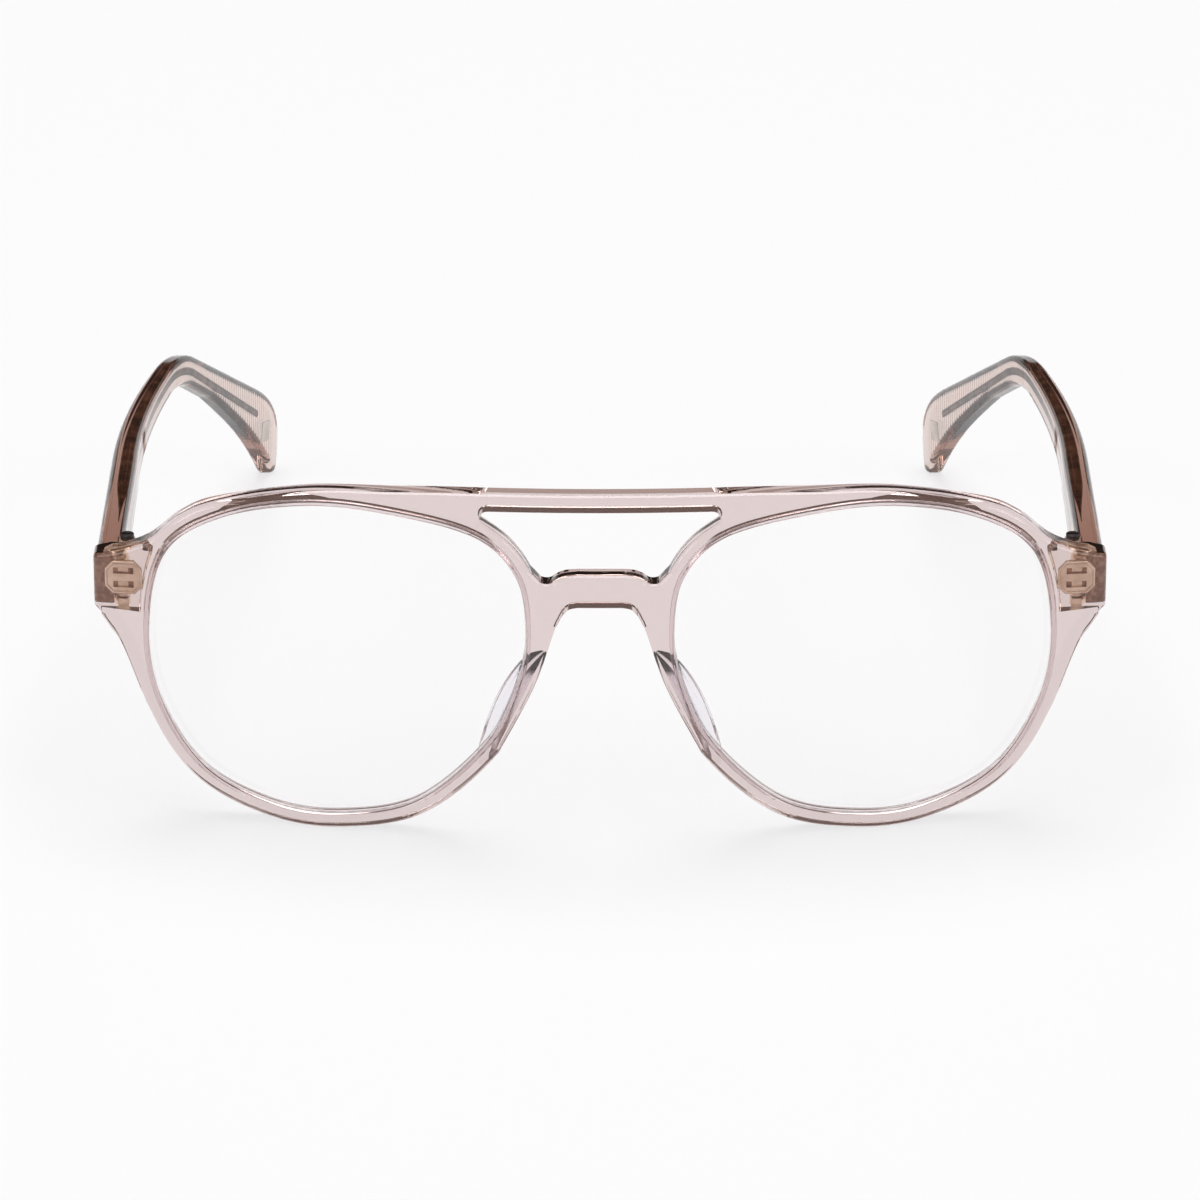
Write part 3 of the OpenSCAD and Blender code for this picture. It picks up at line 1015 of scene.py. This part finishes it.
    def lens_mesh(self) -> bmesh.types.BMesh:
        """Builds the left lens, a curved disc with a tongue round its edge."""
        at = -self.lens_fit
        bm = plate([self.opening(at)], self.lens_t)
        start = (self.lens_t - self.tongue_t) / 2
        for y in (start, start + self.tongue_t):
            cut(bm, (0, y, 0), (0, 1, 0))
        self.widen(bm, start, start + self.tongue_t, at, self.tongue_h - at, 1)
        bmesh.ops.recalc_face_normals(bm, faces=bm.faces[:])
        soften(bm, self.lens_round, 2)
        for axis, middle, reach in ((0, self.lens_x, 26), (2, self.lens_z, 24)):
            slices(bm, axis, middle - reach, middle + reach, self.lens_pitch)
        ahead = (self.thickness - self.lens_t) / 2
        carry(bm, lambda p: (p.x, self.on_ball(p.x, p.z, p.y + ahead) - self.middle_y, p.z))
        return bm

    def build(self) -> None:
        """Builds and dresses the front and its lenses."""
        finish_piece(
            self.front_mesh(),
            "front_acetate",
            ACETATE.material(),
            "front",
            "frame_front",
        )
        clear = LENS.material()
        for side in Side:
            name = f"lens_{side.word}"
            finish_piece(self.lens_mesh(), f"{name}_disc", clear, "front", name, side)


# ---------------------------------------------------------------- the nose pads


@dataclass
class NosePad:
    """A pad cut from a disc, tilted along the rim, opened to the face and set on the front."""

    front: Front
    length: float = 20.0
    height: float = 2.7
    inset: float = 0.9
    thickness: float = 2.0
    splay: float = 28.0
    below: float = 0.6  # how deep the pad is drawn below its base, before its base is cut
    edge_round: float = 0.6
    glue: float = 0.012  # film between the pad and the front
    wall_share: float = 0.25  # share of the grid's half that a pad's side takes
    round_share: float = 0.55  # the same for the rounding above it; its flat top has the rest

    def rounded(self, p: Vector) -> Vector:
        """Place on the untilted pad of a point of a flat unit grid, whose x runs across it."""
        radius = (self.length**2 / 4 + self.height**2) / (2 * self.height)
        reach = math.sqrt(radius**2 - (radius - self.height - self.below) ** 2)
        z = 2 * p.y * reach
        tall = max(0.0, math.sqrt(radius**2 - z * z) - radius + self.height + self.below)
        half, edge = self.thickness / 2, self.edge_round
        share = 1 - 2 * abs(p.x)
        wall, flat = self.wall_share, self.wall_share + self.round_share
        if share < wall:
            under = tall + (min(edge, tall) - tall) * share / wall
        else:
            turned = min(1.0, (share - wall) / self.round_share)
            under = min(tall, edge * (1 - math.sin(math.pi / 2 * turned)))
        across = half
        if under < edge:
            across = half - edge + math.sqrt(edge**2 - (edge - under) ** 2)
        if share > flat:
            across = (half - edge) * (1 - share) / (1 - flat)
        return Vector((math.copysign(across, p.x), tall - under - self.below, z))

    def mesh(self) -> bmesh.types.BMesh:
        """Builds the left pad.

        Returns:
            The mesh, in millimetres.
        """
        low, high = self.front.rim(13, 0), self.front.rim(14, 0)
        middle = (low + high) / 2 - Vector((self.inset, 0))
        bm = bmesh.new()
        bmesh.ops.create_grid(bm, x_segments=44, y_segments=120, size=0.5)
        carry(bm, self.rounded)
        bmesh.ops.remove_doubles(bm, dist=WELD, verts=bm.verts[:])
        opened = Matrix.Rotation(-math.radians(self.splay), 3, "Z")
        bmesh.ops.rotate(bm, verts=bm.verts[:], matrix=opened)
        cut(bm, (0, 0, 0), (0, 1, 0), clear=True)
        bmesh.ops.holes_fill(bm, edges=[e for e in bm.edges if e.is_boundary], sides=0)
        tilt = math.atan2(low.x - high.x, high.y - low.y)
        bmesh.ops.rotate(bm, verts=bm.verts[:], matrix=Matrix.Rotation(-tilt, 3, "Y"))
        start = self.front.on_ball(middle.x, middle.y, self.front.thickness)
        bmesh.ops.translate(bm, verts=bm.verts[:], vec=(middle.x, start, middle.y))

        def seated(p: Vector) -> Vector:
            """Seats a point on the front's back, which fades out above the base."""
            behind = self.front.on_ball(p.x, p.z, self.front.thickness) - start
            fade = max(0.0, 1 - (p.y - start) / self.height)
            return Vector((p.x, p.y + self.glue + behind * fade - self.front.middle_y, p.z))

        carry(bm, seated)
        return bm

    def build(self) -> None:
        """Builds and dresses both pads."""
        material = PAD.material()
        for side in Side:
            name = f"nose_pad_{side.word}"
            finish_piece(self.mesh(), f"{name}_disc", material, "front", name, side, 60)


# ---------------------------------------------------------------- the hinges


def add_block(
    bm: bmesh.types.BMesh, low: Sequence[float], high: Sequence[float], radius: float
) -> None:
    """Adds a block with rounded edges.

    Args:
        bm: Mesh that takes the block.
        low: Lowest corner.
        high: Highest corner.
        radius: Rounding of its edges.
    """
    low, high = Vector(low), Vector(high)
    place = Matrix.Translation((low + high) / 2) @ Matrix.Diagonal((*(high - low), 1))
    made = bmesh.ops.create_cube(bm, size=1, matrix=place)
    bevel(bm, list({e for v in made["verts"] for e in v.link_edges}), radius, 2)


def add_barrel(
    bm: bmesh.types.BMesh,
    centre: Sequence[float],
    low: float,
    high: float,
    radius: float,
    edge: float,
) -> None:
    """Adds an upright turned piece with rounded rims.

    Args:
        bm: Mesh that takes the piece.
        centre: Its axis, in x and y.
        low: Height of its foot.
        high: Height of its top.
        radius: Its radius.
        edge: Rounding of its rims.
    """
    place = Matrix.Translation((centre[0], centre[1], (low + high) / 2))
    made = bmesh.ops.create_cone(
        bm,
        cap_ends=True,
        segments=40,
        radius1=radius,
        radius2=radius,
        depth=high - low,
        matrix=place,
    )
    edges = {e for v in made["verts"] for e in v.link_edges}
    rims = [e for e in edges if abs(e.verts[0].co.z - e.verts[1].co.z) < WELD]
    bevel(bm, rims, edge, 2)


@dataclass
class Hinge:
    """Seven-knuckle hinge: a cut-cornered plate in the front, a leaf in the temple and a screw."""

    front: Front
    inward: float = 0.6
    barrel_r: float = 1.2
    knuckles: int = 7
    knuckle_h: float = 1.3
    knuckle_gap: float = 0.06
    screw_r: float = 0.6
    head_r: float = 1.0
    head_h: float = 0.7
    driver_w: float = 0.3
    plate_t: float = 1.0
    plate_w: float = 5.6
    plate_h: float = 5.0
    arm_w: float = 1.6
    ring_w: float = 0.42  # width of the raised ring round the plate
    ring_h: float = 0.16  # how far it stands above the plate's field
    ring_round: float = 0.13
    field_round: float = 0.05  # rounding of the edges of the slots
    field_lap: float = 0.05  # how far the slotted field runs into the closed back
    sheet_t: float = 0.15  # thickness of the closed back behind the slots
    slot_l: float = 3.0
    slot_h: float = 0.9
    slot_floor: float = 0.3
    floor_over: float = 0.15  # how far the slots' floor reaches past them
    floor_lap: float = 0.03  # how far it runs into the closed back
    floor_round: float = 0.03
    slot_rise: float = 1.05
    leaf_l: float = 9.0
    root_l: float = 1.2
    move_fit: float = 0.15
    knuckle_round: float = 0.12
    arm_round: float = 0.08
    arm_lap: float = 0.02  # how far an arm stays inside its knuckle, and reaches past the floor
    leaf_round: float = 0.1
    leaf_gap: float = 0.01  # between the leaf and the end of the temple's recess
    head_round: float = 0.14
    head_lift: float = 0.02  # how far the head stays above the knuckles
    shank_round: float = 0.08
    shank_lap: float = 0.1  # how far the shank reaches into the head
    proud: float = 0.012  # how far the metal stands out of the acetate that it is flush with
    temple_in: float = 0.35
    temple_t: float = 3.75

    def __post_init__(self) -> None:
        """Works out where the hinge lies."""
        self.x = self.front.end_x - self.temple_in - self.temple_t - self.inward
        self.y = self.front.butt_y + self.barrel_r + self.move_fit
        self.z = self.front.hinge_z
        self.stack = self.knuckles * self.knuckle_h + (self.knuckles - 1) * self.knuckle_gap
        self.leaf_x = self.x + self.inward
        self.leaf_y = self.y + self.barrel_r + self.move_fit

    def add_knuckles(
        self, bm: bmesh.types.BMesh, first: int, low: Sequence[float], high: Sequence[float]
    ) -> None:
        """Adds every second knuckle with an arm.

        Args:
            bm: Mesh that takes them.
            first: The lowest knuckle of this half, counted from 0.
            low: Lowest corner of an arm, in x and y.
            high: Highest corner of an arm, in x and y.
        """
        for i in range(first, self.knuckles, 2):
            foot = self.z - self.stack / 2 + i * (self.knuckle_h + self.knuckle_gap)
            top = foot + self.knuckle_h
            add_barrel(bm, (self.x, self.y), foot, top, self.barrel_r, self.knuckle_round)
            add_block(
                bm, (*low, foot + self.arm_lap), (*high, top - self.arm_lap), self.arm_round
            )

    def octagon(self, inset: float) -> list[Vector]:
        """The plate's cut-cornered outline in x and z, drawn smaller by an inset."""
        w, h = self.plate_w / 2 - inset, self.plate_h / 2 - inset
        quarter = [(w - 0.41 * w, h), (w, h - 0.46 * h)]
        right = [Vector(p) for p in quarter] + [Vector((x, -z)) for x, z in reversed(quarter)]
        return [Vector((self.x, self.z)) + p for p in right + flip(right)]

    def front_mesh(self) -> bmesh.types.BMesh:
        """Builds the half in the left end piece.

        Returns:
            The mesh, in millimetres.
        """
        wide, high = self.slot_l / 2, self.slot_h / 2
        slots = [
            [
                Vector((self.x + sx * wide, self.z + rise + sz * high))
                for sx, sz in ((-1, -1), (1, -1), (1, 1), (-1, 1))
            ]
            for rise in (-self.slot_rise, self.slot_rise)
        ]
        bm = plate([self.octagon(0), self.octagon(self.ring_w)], self.plate_t)
        soften(bm, self.ring_round, 3)
        slotted, back = [self.octagon(self.ring_w / 2), *slots], self.plate_t - self.sheet_t
        for loops, start, end in (
            (slotted, self.ring_h, back + self.field_lap),
            ([self.octagon(0)], back, self.plate_t + self.proud),
        ):
            old = set(bm.verts)
            pull(bm, fill(bm, loops), (0, end - start, 0), keep=True)
            bmesh.ops.translate(bm, vec=(0, start, 0), verts=[v for v in bm.verts if v not in old])
        bmesh.ops.recalc_face_normals(bm, faces=bm.faces[:])
        low, high = self.ring_h - NEAR, self.ring_h + NEAR
        soften(bm, self.field_round, 2, lambda a, b: low < max(a.y, b.y) < high, 60)
        face = self.front.butt_y - self.plate_t
        carry(bm, lambda p: (p.x, p.y + face, p.z))
        arm, root = self.arm_w / 2, self.front.butt_y - self.slot_floor - self.arm_lap
        self.add_knuckles(bm, 0, (self.x - arm, root), (self.x + arm, self.y))
        carry(bm, self.front.centred)
        return bm

    def slot_mesh(self) -> bmesh.types.BMesh:
        """Builds the floor of the left plate's slots.

        Returns:
            The mesh, in millimetres.
        """
        bm = bmesh.new()
        wide = self.slot_l / 2 + self.floor_over
        high = self.slot_rise + self.slot_h / 2 + self.floor_over
        butt = self.front.butt_y
        add_block(
            bm,
            (self.x - wide, butt - self.slot_floor, self.z - high),
            (self.x + wide, butt - self.sheet_t + self.floor_lap, self.z + high),
            self.floor_round,
        )
        carry(bm, self.front.centred)
        return bm

    def leaf_mesh(self) -> bmesh.types.BMesh:
        """Builds the half in the left temple.

        Returns:
            The mesh, in millimetres.
        """
        bm = bmesh.new()
        root = self.stack / 2 - self.knuckle_h - self.knuckle_gap
        x = (self.leaf_x - self.proud, self.leaf_x + self.plate_t)
        for half, length in ((self.plate_h / 2, self.leaf_l), (root, self.root_l)):
            add_block(
                bm,
                (x[0], self.leaf_y + self.leaf_gap, self.z - half),
                (x[1], self.leaf_y + length, self.z + half),
                self.leaf_round,
            )
        arm_end = (self.x + self.barrel_r, self.leaf_y + self.root_l / 2)
        self.add_knuckles(bm, 1, (self.x, self.y), arm_end)
        carry(bm, self.front.centred)
        return bm

    def screw_mesh(self) -> bmesh.types.BMesh:
        """Builds the left screw, with a slot across its head.

        Returns:
            The mesh, in millimetres.
        """
        bm = bmesh.new()
        axis, foot = (self.x, self.y), self.z - self.stack / 2
        top = self.z + self.stack / 2 + self.head_lift
        add_barrel(bm, axis, top, top + self.head_h, self.head_r, self.head_round)
        for y in (-self.driver_w / 2, self.driver_w / 2):
            cut(bm, (0, self.y + y, 0), (0, 1, 0))
        crown = [
            f
            for f in bm.faces
            if f.normal.z > 0.5 and abs(f.calc_center_median().y - self.y) < self.driver_w / 2
        ]
        pull(bm, crown, (0, 0, -self.head_h / 2))
        add_barrel(bm, axis, foot, top + self.shank_lap, self.screw_r, self.shank_round)
        carry(bm, self.front.centred)
        return bm

    def build(self) -> None:
        """Builds and dresses the hinges and their screws."""
        # The slots' floor takes the darker metal, which is painted shade in the slots
        metal, dark, low = HINGE.material(), SCREW.material(), SHADED_SLOT_FLOOR.material()
        for side in Side:
            word, temple = side.word, f"temple_{side.word}"
            for bm, name, material, slot, body, node in (
                (self.front_mesh(), "hinge_plate", metal, Slot.HINGE, "front", "front_hinge"),
                (self.slot_mesh(), "hinge_slots", low, Slot.HINGE, "front", "front_hinge"),
                (self.leaf_mesh(), "hinge_leaf", metal, Slot.HINGE, temple, "temple_hinge"),
                (self.screw_mesh(), "screw", dark, Slot.SCREW, "front", "hinge_screw"),
            ):
                finish_piece(bm, f"{name}_{word}", material, body, f"{node}_{word}", side)


# ---------------------------------------------------------------- the temples


@dataclass
class Temple:
    """A temple of clear acetate round a drawn wire, with an inlay on the inside of its tip."""

    hinge: Hinge
    tip_t: float = 2.8
    length: float = 69.6
    straight_l: float = 34.3
    curve_r: float = 157.0
    toe_in: float = 14.0
    drop: float = 30.0
    waist_h: float = 4.7
    waist_drop: float = 0.8
    bend_r: float = 26.0
    tip_w: float = 11.8
    butt_gap: float = 0.05
    core_r: float = 0.6
    core_cover: float = 0.25
    core_lead: float = 16.0
    core_gap: float = 0.06  # between the end of the hinge's leaf and the wire
    core_l: float = 38.6
    core_w: float = 3.8
    rib_l: float = 11.0
    rib_pitch: float = 0.7
    inlay_w: float = 4.2
    inlay_h: float = 3.25
    inlay_t: float = 0.5
    inlay_in: float = 9.2
    inlay_low: float = 6.0
    inlay_tilt: float = 15.0
    edge_round: float = 1.15
    butt_round: float = 0.12
    inlay_round: float = 0.08
    bend_pitch: float = 2.5  # width of the slices that let the flat temple curve in
    rib_form: tuple[tuple[float, float], ...] = (  # share of the pitch, and of the wire's radius
        (0.18, 1.0),
        (0.34, 0.78),
        (0.66, 0.78),
        (0.82, 1.0),
    )

    def __post_init__(self) -> None:
        """Works out the bend and the curve in."""
        front, turn = self.hinge.front, math.radians(self.drop)
        self.thickness = self.hinge.temple_t
        self.outer_x = front.end_x - self.hinge.temple_in
        self.bend_y = front.butt_y + self.length
        self.waist_z = front.end_top - self.waist_drop
        self.bend_centre = Vector((self.bend_y, self.waist_z - self.bend_r))
        self.down = Vector((math.cos(turn), -math.sin(turn)))
        self.across = Vector((math.sin(turn), math.cos(turn)))
        self.tip_start = self.bend_centre + self.bend_r * self.across
        lowest = min(self.along(p, 0).y for p in self.tip_end())
        self.tip_l = lowest / math.sin(turn)
        self.curve_y = front.butt_y + self.straight_l

    def tip_end(self) -> list[Vector]:
        """End of the tip: how far each point lies from the end, and below the upper edge."""

        def wide(share: float) -> float:
            """Height of the tip between its waist and its full width."""
            return self.waist_h + share * (self.tip_w - self.waist_h)

        keys = [(16, 0), (12, 0.15), (8.4, 0.6), (5, 1.7), (2.6, 3.4), (1.2, 5.8)]
        lower = [(0.3, 0.55), (0, 0.8), (0.4, 0.96), (1.5, 1), (2.9, 0.95), (5.3, 0.84), (11, 0.62)]
        lower += [(17.2, 0.43), (23, 0.3), (28.7, 0.2), (34.4, 0.11), (41, 0.02)]
        keys += [(back, wide(share)) for back, share in lower]
        return open_curve(keys, 6)

    def along(self, p: Sequence[float], length: float) -> Vector:
        """Point on the tip in y and z, from its end and its upper edge."""
        return self.tip_start + (length - p[0]) * self.down - p[1] * self.across

    def side_outline(self) -> list[Vector]:
        """Side outline of the temple in y and z."""
        butt = self.hinge.front.butt_y + self.butt_gap
        upper = arc(self.bend_centre, self.bend_r, 90, 90 - self.drop, 16)
        lower = arc(self.bend_centre, self.bend_r - self.waist_h, 90 - self.drop, 90, 16)
        tip = [self.along(p, self.tip_l) for p in self.tip_end()]
        ends = (Vector((butt, self.hinge.front.end_top)), Vector((butt, self.hinge.front.end_low)))
        return [ends[0], *upper, *tip, *lower, ends[1]]

    def plan_x(self, y: float, share: float) -> float:
        """Place across the temple in x.

        Args:
            y: Distance behind the front's middle.
            share: 0 at the outer face and 1 at the inner one.

        Returns:
            The place in x.
        """
        if y <= self.curve_y:
            return self.outer_x - share * self.thickness
        angle, toe = 0.0, math.radians(self.toe_in)
        reach = self.curve_r
        for _ in range(4):
            turn = min(1.0, angle / toe)
            reach = self.curve_r - share * (self.thickness + turn * (self.tip_t - self.thickness))
            angle = math.asin(min(1.0, (y - self.curve_y) / reach))
        angle = min(angle, toe)
        past = y - self.curve_y - reach * math.sin(angle)
        curved = self.outer_x - self.curve_r + reach * math.cos(angle)
        return curved - max(0.0, past) * math.tan(toe)

    def set_back(self, p: Vector) -> Vector:
        """Place of a point of the flat mesh, whose x runs along the temple."""
        x = self.plan_x(p.x, p.y / self.thickness)
        recess = self.hinge.x + self.hinge.barrel_r + self.hinge.move_fit
        if p.x < self.hinge.leaf_y - NEAR:
            x = max(x, recess)
        return Vector((x, p.x - self.hinge.front.middle_y, p.z))

    def mesh(self) -> bmesh.types.BMesh:
        """Builds the acetate of the left temple.

        Returns:
            The mesh, in millimetres.
        """
        bm = plate([self.side_outline()], self.thickness)
        butt = self.hinge.front.butt_y + 1  # edges up to here are the butt's own
        soften(bm, self.edge_round, 5, lambda a, b: max(a.x, b.x) > butt, 30)
        soften(bm, self.butt_round, 2, lambda a, b: max(a.x, b.x) < butt, 50)
        # Two cuts close together make the step at the end of the recess
        for y in (self.hinge.leaf_y, self.hinge.leaf_y - 2 * NEAR):
            cut(bm, (y, 0, 0), (1, 0, 0))
        slices(bm, 0, self.hinge.leaf_y + 1.5, self.bend_y + 70, self.bend_pitch)
        for face in bm.faces:
            face.material_index = int(face.normal.x < -0.99 and face.calc_center_median().x < butt)
        carry(bm, self.set_back)
        return bm

    def core_route(self) -> list[tuple[Vector, float]]:
        """Route of the left core wire.

        Returns:
            Places in millimetres, each with the wire's radius there.
        """
        start = Vector((self.hinge.leaf_y + self.hinge.leaf_l + self.core_gap, self.hinge.z))
        turn = Vector((self.bend_y, self.waist_z - self.waist_h / 2))
        side = [start.lerp(turn, i / 24) for i in range(24)]
        side += arc(self.bend_centre, self.bend_r - self.waist_h / 2, 90, 90 - self.drop, 10)
        bend_end = side[-1]
        end = self.along((self.tip_l - self.core_l, self.core_w), self.tip_l)
        way = (end - bend_end).normalized()
        ribs = math.floor(self.rib_l / self.rib_pitch)
        plain = self.core_l - ribs * self.rib_pitch
        side += [bend_end + way * plain * i / 12 for i in range(1, 13)]
        route = [(p, self.core_r) for p in side]
        for i in range(ribs):
            for share, size in self.rib_form:
                at = plain + (i + share) * self.rib_pitch
                route.append((bend_end + way * at, self.core_r * size))
        beside_leaf = self.hinge.leaf_x + self.core_cover + self.core_r
        inner = self.outer_x - self.thickness / 2 - beside_leaf
        placed = []
        for p, radius in route:
            lead = max(0.0, min(1.0, 1 - (p.x - start.x) / self.core_lead))
            x = self.plan_x(p.x, 0.5) - inner * lead * lead * (3 - 2 * lead)
            placed.append((Vector((x, p.x - self.hinge.front.middle_y, p.y)), radius))
        return placed

    def core_mesh(self) -> bmesh.types.BMesh:
        """Builds the left core wire: a disc that is drawn out along its route.

        Returns:
            The mesh, in millimetres.
        """
        route = self.core_route()
        bm = bmesh.new()
        ring = bmesh.ops.create_circle(bm, cap_ends=True, segments=20, radius=1)["verts"]
        faces = bm.faces[:]
        last = Matrix.Identity(4)
        for i, (place, radius) in enumerate(route):
            before, after = route[max(i - 1, 0)][0], route[min(i + 1, len(route) - 1)][0]
            turn = (after - before).to_track_quat("Z", "X")
            now = Matrix.LocRotScale(place, turn, (radius, radius, 1))
            if i:
                ring, faces = pull(bm, faces, (0, 0, 0), keep=i == 1)
            bmesh.ops.transform(bm, matrix=now @ last.inverted(), verts=ring)
            last = now
        return bm

    def inlay_mesh(self) -> bmesh.types.BMesh:
        """Builds the left tip's inlay, a thin plate let into its inner face.

        Returns:
            The mesh, in millimetres.
        """
        toe = math.radians(self.toe_in)
        at = self.along((self.inlay_in, self.inlay_low), self.tip_l)
        bm = bmesh.new()
        add_block(
            bm,
            (-self.hinge.proud, -self.inlay_w / 2, -self.inlay_h / 2),
            (self.inlay_t, self.inlay_w / 2, self.inlay_h / 2),
            self.inlay_round,
        )
        tilt = Matrix.Rotation(-math.radians(self.inlay_tilt), 4, "X")
        turn = Matrix.Rotation(toe, 4, "Z") @ tilt
        place = Vector((self.plan_x(at.x, 1), at.x - self.hinge.front.middle_y, at.y))
        bmesh.ops.transform(bm, matrix=Matrix.Translation(place) @ turn, verts=bm.verts[:])
        return bm

    def build(self) -> None:
        """Builds and dresses both temples, their wires and their inlays."""
        # The core wire's dark brown is painted shade for its place inside the temple
        acetate, wire, steel = TEMPLE_ACETATE.material(), CORE.material(), INLAY.material()
        sawn = SAWN.material()
        for side in Side:
            word, body = side.word, f"temple_{side.word}"
            name, node = f"temple_acetate_{word}", f"temple_{word}"
            temple = finish_piece(self.mesh(), name, acetate, body, node, side)
            temple.data.materials.append(sawn)
            name, node = f"core_wire_{word}", f"temple_core_{word}"
            finish_piece(self.core_mesh(), name, wire, body, node, side, 60)
            name, node = f"inlay_{word}", f"tip_inlay_{word}"
            finish_piece(self.inlay_mesh(), name, steel, body, node, side)


# ---------------------------------------------------------------- the setting


@dataclass
class Setting:
    """Pale floor, plain soft light and the camera, which aren't part of the object."""

    look_at: tuple[float, float, float] = (0.0, -67.04, 37.1)
    elevation: float = 24.0
    distance: float = 1000.0
    focal: float = 210.0
    white_share: float = 0.7  # how far the floor's own shade gives way to plain white
    dark_way: tuple[float, float, float] = (0.0, 0.97, 0.24)  # towards the room's darkest part
    dark_band: tuple[float, float] = (0.1, 0.75)  # how squarely that is faced as it darkens
    room_band: tuple[float, float] = (0.12, 0.26)  # height where the sweep gives way to the room
    side_band: tuple[float, float] = (0.4, 0.62)  # how far aside the sweep ends

    def floor(self) -> None:
        """Lays the pale glossy sheet that the frame stands on."""
        bm = bmesh.new()
        bmesh.ops.create_grid(bm, x_segments=4, y_segments=4, size=6.0)
        mesh = bpy.data.meshes.new("floor")
        bm.to_mesh(mesh)
        bm.free()
        sheet = bpy.data.objects.new("floor", mesh)
        bpy.context.scene.collection.objects.link(sheet)
        material, tree = new_material("pale_glossy_sheet")
        shader = add_node(
            tree,
            "ShaderNodeBsdfPrincipled",
            {"Base Color": linear("#F3F3F3"), "Roughness": 0.22, "IOR": 1.45},
        )
        # Eyes, gloss and clear pieces see a white sheet, with a part of its real shade kept
        path = add_node(tree, "ShaderNodeLightPath").outputs
        seen = path["Is Camera Ray"]
        for other in ("Is Glossy Ray", "Is Transmission Ray"):
            seen = add_node(
                tree, "ShaderNodeMath", {0: seen, 1: path[other]}, operation="MAXIMUM"
            ).outputs["Value"]
        share = add_node(
            tree, "ShaderNodeMath", {0: seen, 1: self.white_share}, operation="MULTIPLY"
        )
        white = add_node(tree, "ShaderNodeEmission", {"Color": linear("#FBFCFE"), "Strength": 1.0})
        both = add_node(
            tree,
            "ShaderNodeMixShader",
            {0: share.outputs["Value"], 1: shader.outputs["BSDF"], 2: white.outputs["Emission"]},
        )
        add_node(tree, "ShaderNodeOutputMaterial", {"Surface": both.outputs["Shader"]})
        mesh.materials.append(material)

    def light(self) -> None:
        """Hangs the soft lamps and sets the world's even light."""
        scene = bpy.context.scene
        world = bpy.data.worlds.new("studio")
        scene.world = world
        world.use_nodes = True
        tree = world.node_tree
        tree.nodes.clear()
        # A white sweep up to the horizon, a brown room beside and over it, darkest high up behind
        way = add_node(tree, "ShaderNodeTexCoord").outputs["Generated"]
        behind = add_node(
            tree, "ShaderNodeVectorMath", {0: way, 1: self.dark_way}, operation="DOT_PRODUCT"
        )
        height = add_node(tree, "ShaderNodeSeparateXYZ", {"Vector": way})
        aside = add_node(tree, "ShaderNodeMath", {0: height.outputs["X"]}, operation="ABSOLUTE")
        dark, above, beside = (
            add_node(
                tree,
                "ShaderNodeMapRange",
                {"Value": value, "From Min": band[0], "From Max": band[1]},
                interpolation_type="SMOOTHSTEP",
            ).outputs["Result"]
            for value, band in (
                (behind.outputs["Value"], self.dark_band),
                (height.outputs["Z"], self.room_band),
                (aside.outputs["Value"], self.side_band),
            )
        )
        room, sweep = (
            add_node(
                tree, "ShaderNodeMix", {0: share, 6: linear(near), 7: linear(far)}, data_type="RGBA"
            ).outputs[2]
            for share, near, far in ((dark, "#D2C8C2", "#644E46"), (beside, "#FFFFFF", "#8E7A70"))
        )
        seen = add_node(tree, "ShaderNodeMix", {0: above, 6: sweep, 7: room}, data_type="RGBA")
        back = add_node(tree, "ShaderNodeBackground", {"Color": seen.outputs[2], "Strength": 1.0})
        add_node(tree, "ShaderNodeOutputWorld", {"Surface": back.outputs["Background"]})
        for name, place, size, power in (
            ("lamp_above", (0.0, 0.35, 1.7), 1.5, 25.0),
            ("lamp_right", (-1.5, -0.7, 0.9), 0.8, 4.5),
            ("lamp_left", (1.5, -0.7, 0.9), 0.8, 4.5),
        ):
            lamp = bpy.data.lights.new(name, "AREA")
            lamp.shape = "DISK"
            lamp.size = size
            lamp.energy = power
            hung = bpy.data.objects.new(name, lamp)
            hung.location = place
            aim = Vector((0, 0.02, 0.02)) - Vector(place)
            hung.rotation_euler = aim.to_track_quat("-Z", "Y").to_euler()
            scene.collection.objects.link(hung)

    def camera(self) -> None:
        """Sets the camera at the photograph's angle."""
        tilt = math.radians(self.elevation)
        lens = bpy.data.cameras.new("camera")
        lens.lens = self.focal
        lens.sensor_width = 36.0
        lens.clip_start = 0.05
        eye = bpy.data.objects.new("camera", lens)
        back = Vector((0, -math.cos(tilt), math.sin(tilt))) * self.distance
        eye.location = (Vector(self.look_at) + back) * MM
        eye.rotation_euler = (math.pi / 2 - tilt, 0, 0)
        bpy.context.scene.collection.objects.link(eye)
        bpy.context.scene.camera = eye

    def build(self) -> None:
        """Sets the floor, the light and the camera."""
        self.floor()
        self.light()
        self.camera()
        bpy.context.scene.view_settings.view_transform = "Standard"


def main() -> None:
    """Builds the pieces in order."""
    logging.basicConfig(level=logging.INFO, format="%(message)s", stream=sys.stdout)
    front = Front()
    front.build()
    NosePad(front).build()
    hinge = Hinge(front)
    hinge.build()
    Temple(hinge).build()
    Setting().build()


if __name__ == "__main__":
    main()
